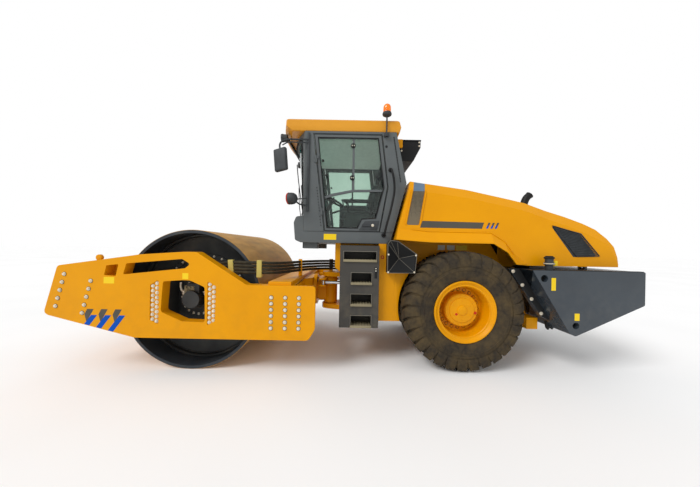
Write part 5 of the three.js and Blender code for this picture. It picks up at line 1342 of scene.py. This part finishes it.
knob = turned([(0, -0.03), (0.016, -0.025), (0.022, 0.0), (0.018, 0.022), (0, 0.028)],
              (0.42, -0.06, 2.185), "lever_knob", axis=(0, 0, 1), steps=24)
dress(smooth(join([lever, knob], "drive_lever")), "rear_frame", SEAL)
print("console and wheel")

# %% Seat: pedestal, cushions with pressure, arm rests
def padded_cushion(low, high, turn, name):
    """A closed box with rounded edges, filled by pressure so that the cloth bulges."""
    cushion = block(low, high, name)
    round_edges(cushion, 0.035, 4)
    if turn:
        centre = (Vector(low) + Vector(high)) / 2
        cushion.data.transform(
            Matrix.Translation(centre) @ Matrix.Rotation(math.radians(turn), 4, "X")
            @ Matrix.Translation(-centre))
    apply_modifier(cushion, "REMESH", mode="VOXEL", voxel_size=0.014)
    pick(cushion)
    cloth = cushion.modifiers.new("Cloth", "CLOTH")
    cloth.settings.quality = 4
    cloth.settings.mass = 0.3
    cloth.settings.tension_stiffness = cloth.settings.compression_stiffness = 40
    cloth.settings.use_pressure = True
    cloth.settings.uniform_pressure_force = 4
    cloth.settings.effector_weights.gravity = 0
    cloth.collision_settings.use_self_collision = False
    rest = [vertex.co.copy() for vertex in cushion.data.vertices]
    for frame_number in range(1, 13):
        bpy.context.scene.frame_set(frame_number)
    bpy.ops.object.modifier_apply(modifier=cloth.name)
    limit = 0.014
    for vertex, start in zip(cushion.data.vertices, rest):
        move = vertex.co - start
        if move.length > limit:
            vertex.co = start + move.normalized() * limit
    bpy.context.scene.frame_set(1)
    apply_modifier(cushion, "SMOOTH", factor=0.5, iterations=3)
    smooth(cushion, 70)
    return cushion


seat_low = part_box("seat")[0][2]
cushions = [
    padded_cushion((-0.245, -0.185, seat_low + 0.335), (0.245, 0.315, seat_low + 0.440), 0,
                   "squab"),
    padded_cushion((-0.235, 0.290, seat_low + 0.440), (0.235, 0.400, seat_low + 0.860), -13,
                   "back"),
    padded_cushion((-0.150, 0.385, seat_low + 0.870), (0.150, 0.465, seat_low + 1.020), -10,
                   "head"),
]
for number, cushion in enumerate(cushions):
    dress(cushion, "rear_frame", SEAT_CLOTH, ["seat"] if number == 0 else ())
pedestal = block((-0.180, -0.060, seat_low), (0.180, 0.300, seat_low + 0.330), "seat_pedestal")
frame_back = block((-0.200, 0.345, seat_low + 0.40), (0.200, 0.400, seat_low + 0.62), "seat_frame")
rests = [block((s * 0.290 - 0.035, -0.115, seat_low + 0.560),
               (s * 0.290 + 0.035, 0.320, seat_low + 0.612),
               "arm_rest") for s in (-1, 1)]
posts = [bar((s * 0.270, 0.300, seat_low + 0.39), (s * 0.285, 0.290, seat_low + 0.57), 0.016,
             "arm_post")
         for s in (-1, 1)]
seat_parts = [round_edges(piece, 0.018, 3) for piece in [pedestal, frame_back] + rests]
dress(smooth(join(seat_parts + posts, "seat_base")), "rear_frame", PLASTIC)
print("seat with", len(cushions), "cushions")

# %% [markdown]
# ## Hood: films, mesh band, slats and the wheel arch
# The hood's sides carry a plain grey bar that ends in short stripes, all without letters. They
# are thin films wrapped on to the curved skin with a shrinkwrap. The fold above the wheel arch is
# wrapped on in the same way, only thicker. The rear vents get real slats.

# %% Plain bar and stripes on the hood
def hood_film(points, name, finish, thickness=0.0008):
    """A film that lies on the hood's curved side: cut fine, then wrapped on to it."""
    sheet = draw_line([(1.2, y, z) for y, z in points], name)
    edit_all(sheet)
    bpy.ops.mesh.edge_face_add()
    for step in range(1, 12):
        first = min(p[0] for p in points)
        y = first + (max(p[0] for p in points) - first) * step / 12
        bpy.ops.mesh.select_all(action="SELECT")
        bpy.ops.mesh.bisect(plane_co=(0, y, 0), plane_no=(0, 1, 0))
    bpy.ops.object.mode_set(mode="OBJECT")
    apply_modifier(
        sheet, "SHRINKWRAP", wrap_method="PROJECT", target=FINISHED["hood_shell"],
        use_project_x=True, use_negative_direction=True, use_positive_direction=False,
        offset=0.0012)
    outward(sheet)
    apply_modifier(sheet, "SOLIDIFY", thickness=thickness, offset=1)
    return both_sides(sheet, name, "hood", finish)


hood_film([(0.895, 1.793), (1.690, 1.793), (1.718, 1.872), (0.925, 1.880)], "hood_bar", DECAL_GREY)
for k in range(3):
    y = 1.742 + 0.056 * k
    hood_film([(y, 1.797), (y + 0.026, 1.797), (y + 0.043, 1.836), (y + 0.017, 1.836)],
              f"hood_stripe_low_{k + 1}", DECAL_BLUE)
    hood_film([(y + 0.018, 1.838), (y + 0.044, 1.838), (y + 0.059, 1.872), (y + 0.033, 1.872)],
              f"hood_stripe_high_{k + 1}", DECAL_GREY)
FOLD = [(0.790, 1.772), (1.004, 1.748), (1.517, 1.745), (1.805, 1.745), (1.987, 1.634),
        (2.095, 1.484)]
upper = [(y + 0.005, z + 0.006) for y, z in FOLD]
lower = [(y - 0.005, z - 0.006) for y, z in FOLD]
hood_film(lower + upper[::-1], "hood_fold", YELLOW, 0.007)
print("hood films")

# %% Ribs beside the band, slats in the rear vents
for name, foot_y, head_y in (("band_rib_front", 0.698, 0.781), ("band_rib_rear", 0.886, 0.960)):
    rib = draw_line([(1.2, foot_y, 1.832), (1.2, foot_y + 0.014, 1.832),
                     (1.2, head_y + 0.014, 2.280), (1.2, head_y, 2.280)], name)
    edit_all(rib)
    bpy.ops.mesh.edge_face_add()
    for step in range(1, 9):
        bpy.ops.mesh.select_all(action="SELECT")
        bpy.ops.mesh.bisect(plane_co=(0, 0, 1.832 + 0.448 * step / 9), plane_no=(0, 0, 1))
    bpy.ops.object.mode_set(mode="OBJECT")
    apply_modifier(
        rib, "SHRINKWRAP", wrap_method="PROJECT", target=FINISHED["hood_shell"],
        use_project_x=True, use_negative_direction=True, use_positive_direction=False,
        offset=0.001)
    outward(rib)
    apply_modifier(rib, "SOLIDIFY", thickness=0.012, offset=1)
    both_sides(rib, name, "hood", YELLOW)

SLATS = 15
corners = [Vector((0, y, z)) for y, z in ((2.600, 1.850), (2.968, 1.752), (3.212, 1.472),
                                          (2.918, 1.462))]
slats = []
for k in range(SLATS):
    share = (k + 0.6) / SLATS
    left, right = corners[0].lerp(corners[3], share), corners[1].lerp(corners[2], share)
    slats.append(plate([(0.877, left.y, left.z), (0.877, right.y, right.z),
                        (0.888, right.y, right.z - 0.011), (0.888, left.y, left.z - 0.011)],
                       (0, 0, -0.0035), "slat"))
vent = join(slats, "vent_slats")
both_sides(vent, "vent_slats", "hood", PLASTIC)
vent_frame = seal_line([(0.886, c.y, c.z) for c in corners], 0.007, "vent_frame")
both_sides(vent_frame, "vent_frame", "hood", PLASTIC)
print(SLATS, "slats in each vent")

# %% Wheel arch: end wall, films under the lip
end_wall = plate_yz([(2.156, 1.180), (2.420, 1.320), (2.420, 1.700), (1.960, 1.700),
                     (1.960, 1.646), (2.156, 1.646)], 0.408, 0.420, "arch_end_wall")
both_sides(round_edges(end_wall, 0.003), "arch_end_wall", "rear_frame", YELLOW)
for name, y0, y1, finish in (
    ("film_arch_1", 1.284, 1.389, DECAL_WHITE), ("film_arch_2", 1.417, 1.531, DECAL_WHITE),
    ("film_arch_3", 1.550, 1.710, DECAL_YELLOW),
):
    film([(y0, 1.510), (y1, 1.510), (y1, 1.580), (y0, 1.580)], 0.4205, name, finish,
         "rear_frame", "yellow_paint")
TYRE_GAP = TYRE_RADIUS + 0.035
heights = [0.560 + 0.064 * k for k in range(11)]
front_curve = [(HUB.y - math.sqrt(TYRE_GAP ** 2 - (z - HUB.z) ** 2), z) for z in heights]
wing = plate_yz([(0.598, 0.560)] + front_curve + [(0.598, 1.200)], 0.780, 0.7990, "arch_front_wall")
both_sides(round_edges(wing, 0.003), "arch_front_wall", "rear_frame", YELLOW)
print("arch closed")

# %% [markdown]
# ## Steps, air box and tank side
# Each step's opening has a welded frame and a tread plate with raised buttons that holds dust.
# The air box is a folded scoop. Its outline is pulled out to a plate, and the outer face is inset
# and poked inwards, so its folds run from the corners to one point. Thin pale bars on the folds and
# round its rim are painted highlights on its edges. Its top edge stays under the hood's flange,
# which ends at 1.629 m.

# %% Treads, frames and the latch
STEP_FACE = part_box("step_box_left")[1][0]
OPENINGS = [(-0.080, 0.345, 1.348, 1.472)]
OPENINGS += [(0.020, 0.288, low_z, low_z + 0.145) for low_z in (1.055, 0.780, 0.505)]
treads, frames = [], []
for y0, y1, z0, z1 in OPENINGS:
    tread = block((STEP_FACE - 0.250, y0 + 0.004, z0 + 0.0005),
                  (STEP_FACE + 0.020, y1 - 0.004, z0 + 0.012), "tread")
    nosing = block((STEP_FACE + 0.002, y0 - 0.002, z0 - 0.012),
                   (STEP_FACE + 0.022, y1 + 0.002, z0 + 0.020), "nosing")
    treads += [round_edges(tread, 0.003), round_edges(nosing, 0.005)]
    across, along = 5, int((y1 - y0) / 0.036)
    button = bar((0, 0, 0.011), (0, 0, 0.020), 0.011, "button", 10, end_radius=0.006)
    spots = [(STEP_FACE + 0.004 - 0.036 * i, y0 + (j + 0.5) * (y1 - y0) / along, z0)
             for i in range(across) for j in range(along)]
    treads.append(scatter(button, spots, "buttons"))
    frames.append(seal_line([(STEP_FACE + 0.001, y0, z0), (STEP_FACE + 0.001, y1, z0),
                             (STEP_FACE + 0.001, y1, z1), (STEP_FACE + 0.001, y0, z1)],
                            0.006, "frame"))
both_sides(join(treads, "step_treads"), "step_treads", "rear_frame", DUSTY)
both_sides(join(frames, "step_frames"), "step_frames", "rear_frame", WORN_AND_HIGHLIGHT_EDGE)
latch = block((STEP_FACE - 0.001, 0.322, 1.130), (STEP_FACE + 0.009, 0.352, 1.272), "latch")
round_edges(latch, 0.004, 3)
both_sides(latch, "step_latch", "rear_frame", BLACK)
pins = join([bar((STEP_FACE + 0.006, 0.337, z), (STEP_FACE + 0.013, 0.337, z), 0.008, "pin", 20)
             for z in (1.255, 1.225)], "latch_pins")
both_sides(pins, "latch_pins", "rear_frame", DECAL_WHITE)
print("four treads on each side")

# %% Air box: a folded scoop with painted highlights along its folds and rim, and corner bolts
SCOOP_FACE, RIM_DEPTH = 0.955, 0.004
outline = [(0.478, 1.572), (0.512, 1.618), (0.604, 1.610), (0.846, 1.446), (0.826, 1.212),
           (0.478, 1.207)]
scoop = plate_yz(outline, 0.803, SCOOP_FACE, "air_box_left_scoop")
choose_faces(scoop, lambda centre, normal: normal.x > 0.9)
bpy.ops.mesh.inset(thickness=0.014)
bpy.ops.mesh.extrude_region_move(TRANSFORM_OT_translate={"value": (-RIM_DEPTH, 0, 0)})
bpy.ops.mesh.poke(offset=-0.110)
bpy.ops.object.mode_set(mode="OBJECT")
apex = min((v.co for v in scoop.data.vertices if 0.55 < v.co.y < 0.72 and 1.25 < v.co.z < 1.50),
           key=lambda co: co.x).copy()
fold_starts = [v.co.copy() for v in scoop.data.vertices
               if abs(v.co.x - (SCOOP_FACE - RIM_DEPTH)) < 1e-4]
inner_box = block((0.545, 0.602, 1.280), (0.800, 0.758, 1.516), "inner_box")
round_edges(scoop, 0.003)
scoop = smooth(join([scoop, round_edges(inner_box, 0.006)], "air_box_left_scoop"), 20)
other_scoop = mirror_twin(scoop, "air_box_right_scoop")
dress(scoop, "rear_frame", BLACK, ["air_box_left"])
dress(other_scoop, "rear_frame", BLACK, ["air_box_right"])
# Pale bars on the folds and round the rim are painted highlights on the scoop's edges.
folds = [bar(start, apex + Vector((0.001, 0, 0)), 0.0026, "fold", 8) for start in fold_starts]
folds.append(seal_line([(SCOOP_FACE, y, z) for y, z in outline], 0.0045, "fold_rim"))
both_sides(join(folds, "air_box_folds"), "air_box_folds", "rear_frame", WORN_AND_HIGHLIGHT_EDGE)
box_bolt = hex_bolt((SCOOP_FACE, 0, 0), (1, 0, 0), 0.010)
bolts = scatter(box_bolt, [(0, 0.486, 1.440), (0, 0.486, 1.216), (0, 0.818, 1.220),
                           (0, 0.836, 1.436)],
                "air_box_bolts")
both_sides(bolts, "air_box_bolts", "rear_frame", ZINC)
ring = turned([(0.014, 0.0), (0.024, 0.0), (0.024, 0.004), (0.014, 0.004), (0.014, 0.0)],
              (0.8003, 0.430, 1.400), "tank_ring", steps=32)
both_sides(ring, "tank_ring", "rear_frame", RED)
print("scoop with its apex at", [round(v, 3) for v in apex])

# %% [markdown]
# ## Counterweight and tail
# A black bolted flange joins the counterweight to the frame. The two round seats are dark, and
# plain films sit beside them. The tail lamps and the top lip are a guess.

# %% Flange, bolts, seats, films and lip
flange_plate = plate_yz([(2.046, 1.286), (2.296, 1.286), (2.690, 0.702), (2.616, 0.616),
                         (2.474, 0.686)],
                        0.9005, 0.906, "weight_flange")
both_sides(round_edges(flange_plate, 0.002), "weight_flange", "rear_frame", BLACK)
weight_bolt = hex_bolt((0.906, 0, 0), (1, 0, 0), 0.018)
bolts = scatter(weight_bolt, [(0, 2.092, 1.255), (0, 2.214, 1.082), (0, 2.335, 0.905),
                              (0, 2.461, 0.722)],
                "weight_bolts")
both_sides(bolts, "weight_bolts", "rear_frame", ZINC)
WEIGHT_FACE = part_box("counterweight")[1][0]
dark_discs = join([bar((WEIGHT_FACE - 0.078, y, z), (WEIGHT_FACE - 0.070, y, z), r, "dark_disc", 40)
              for y, z, r in ((2.317, 1.194, 0.0405), (2.700, 0.638, 0.036))], "weight_seats")
both_sides(dark_discs, "weight_seats", "rear_frame", SEAL)
film([(2.400, 1.053), (2.452, 1.053), (2.452, 1.203), (2.400, 1.203)], WEIGHT_FACE,
     "film_weight_1", DECAL_YELLOW, "rear_frame", "yellow_paint")
film([(2.682, 0.700), (2.740, 0.700), (2.740, 0.785), (2.682, 0.785)], WEIGHT_FACE,
     "film_weight_2", DECAL_YELLOW, "rear_frame", "yellow_paint")
lip = block((1.090, 2.196, 1.2905), (1.149, 3.500, 1.2965), "weight_lip")
both_sides(round_edges(lip, 0.002), "weight_lip", "rear_frame", BLACK)
low_bracket = plate_yz([(2.585, 0.600), (2.700, 0.585), (2.735, 0.500), (2.700, 0.520),
                        (2.680, 0.490), (2.650, 0.515), (2.625, 0.485), (2.600, 0.512)],
                       0.790, 0.815, "weight_bracket")
both_sides(round_edges(low_bracket, 0.002), "weight_bracket", "rear_frame", BLACK)
print("counterweight details")

# %% Filler cap and its film, tail lamps
neck_low, neck_high = (Vector(corner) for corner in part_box("filler_neck"))
nx, ny = (neck_low.x + neck_high.x) / 2, (neck_low.y + neck_high.y) / 2
cap = turned([(0, 0.0), (0.050, 0.0), (0.057, 0.004), (0.057, 0.020), (0.050, 0.026), (0, 0.028)],
             (nx, ny, neck_high.z - 0.026), "filler_cap", axis=(0, 0, 1), steps=40)
grip = block((nx - 0.012, ny - 0.045, neck_high.z - 0.002),
             (nx + 0.012, ny + 0.045, neck_high.z + 0.012), "cap_grip")
dress(smooth(join([cap, round_edges(grip, 0.005, 3)], "filler_cap")), "rear_frame", SEAL)
white_ring = turned([(0.0555, 0), (0.0585, 0.002), (0.0585, 0.009), (0.0555, 0.011), (0.0555, 0.0)],
                    (nx, ny, neck_low.z + 0.070), "neck_ring", axis=(0, 0, 1), steps=40)
dress(smooth(white_ring), "rear_frame", DECAL_WHITE)
tag = plate_yz([(ny + 0.048, 1.338), (ny + 0.100, 1.338), (ny + 0.100, 1.402), (ny + 0.048, 1.402)],
               nx + 0.004, nx + 0.008, "filler_tag")
dress(smooth(round_edges(tag, 0.001)), "rear_frame", DECAL_YELLOW)
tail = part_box("counterweight")[1][1]
for name, x0, x1, finish in (("tail_lamp", 0.800, 0.900, RED), ("turn_lamp", 0.910, 0.990, AMBER)):
    lens = block((x0, tail - 0.002, 1.080), (x1, tail + 0.010, 1.150), name)
    both_sides(round_edges(lens, 0.006, 3), name, "rear_frame", finish)
housing = seal_line([(0.793, tail + 0.001, 1.073), (0.997, tail + 0.001, 1.073),
                     (0.997, tail + 0.001, 1.157), (0.793, tail + 0.001, 1.157)], 0.006, "lamp_rim")
both_sides(housing, "lamp_rim", "rear_frame", PLASTIC)
print("filler cap and tail lamps")

# %% Condenser: lid, fins and its yellow brackets
cond_low, cond_high = (Vector(corner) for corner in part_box("condenser_box"))
lid = block((cond_low.x - 0.010, 0.690, cond_high.z - 0.004),
            (cond_high.x + 0.010, cond_high.y + 0.004, cond_high.z + 0.014), "condenser_lid")
dress(smooth(round_edges(lid, 0.005)), "rear_frame", BLACK)
fin = block((-0.50, cond_high.y - 0.003, 0), (0.50, cond_high.y + 0.006, 0.003), "fin")
fins = scatter(fin, [(0, 0, cond_high.z - 0.085 + 0.010 * k) for k in range(8)], "condenser_fins")
dress(fins, "rear_frame", ZINC)
hold = block((0.600, 0.600, 2.915), (0.640, 0.700, 3.030), "condenser_hold")
both_sides(round_edges(hold, 0.006), "condenser_hold", "rear_frame", YELLOW)
side_bolts = scatter(hex_bolt((cond_high.x, 0, 0), (1, 0, 0), 0.010),
                     [(0, 0.700, 3.020), (0, 0.950, 3.020), (0, 0.700, 2.900), (0, 0.950, 2.970)],
                     "condenser_bolts")
both_sides(side_bolts, "condenser_bolts", "rear_frame", ZINC)
print("condenser")

# %% [markdown]
# ## Exhaust
# The exhaust is a pipe that leans back at its end, so rain doesn't fall in. It is a tube along a
# smooth curve, and a thin torus stands for its rolled end.

# %% Exhaust: a bent pipe with a rolled end
pipe = tube([(0.380, 2.530, 1.960), (0.380, 2.545, 2.120), (0.380, 2.560, 2.220),
             (0.380, 2.592, 2.300), (0.380, 2.640, 2.348)], 0.050, "exhaust_pipe", 14, 6)
deselect()
bpy.ops.mesh.primitive_torus_add(
    major_radius=0.048, minor_radius=0.006, major_segments=40, minor_segments=10,
    location=(0.380, 2.639, 2.347), rotation=(math.radians(-46), 0, 0))
roll = settle(bpy.context.object, "exhaust_rim")
dress(smooth(join([pipe, roll], "exhaust_pipe"), 50), BODY_OF["exhaust"], BLACK,
      ["exhaust"])
print("exhaust")
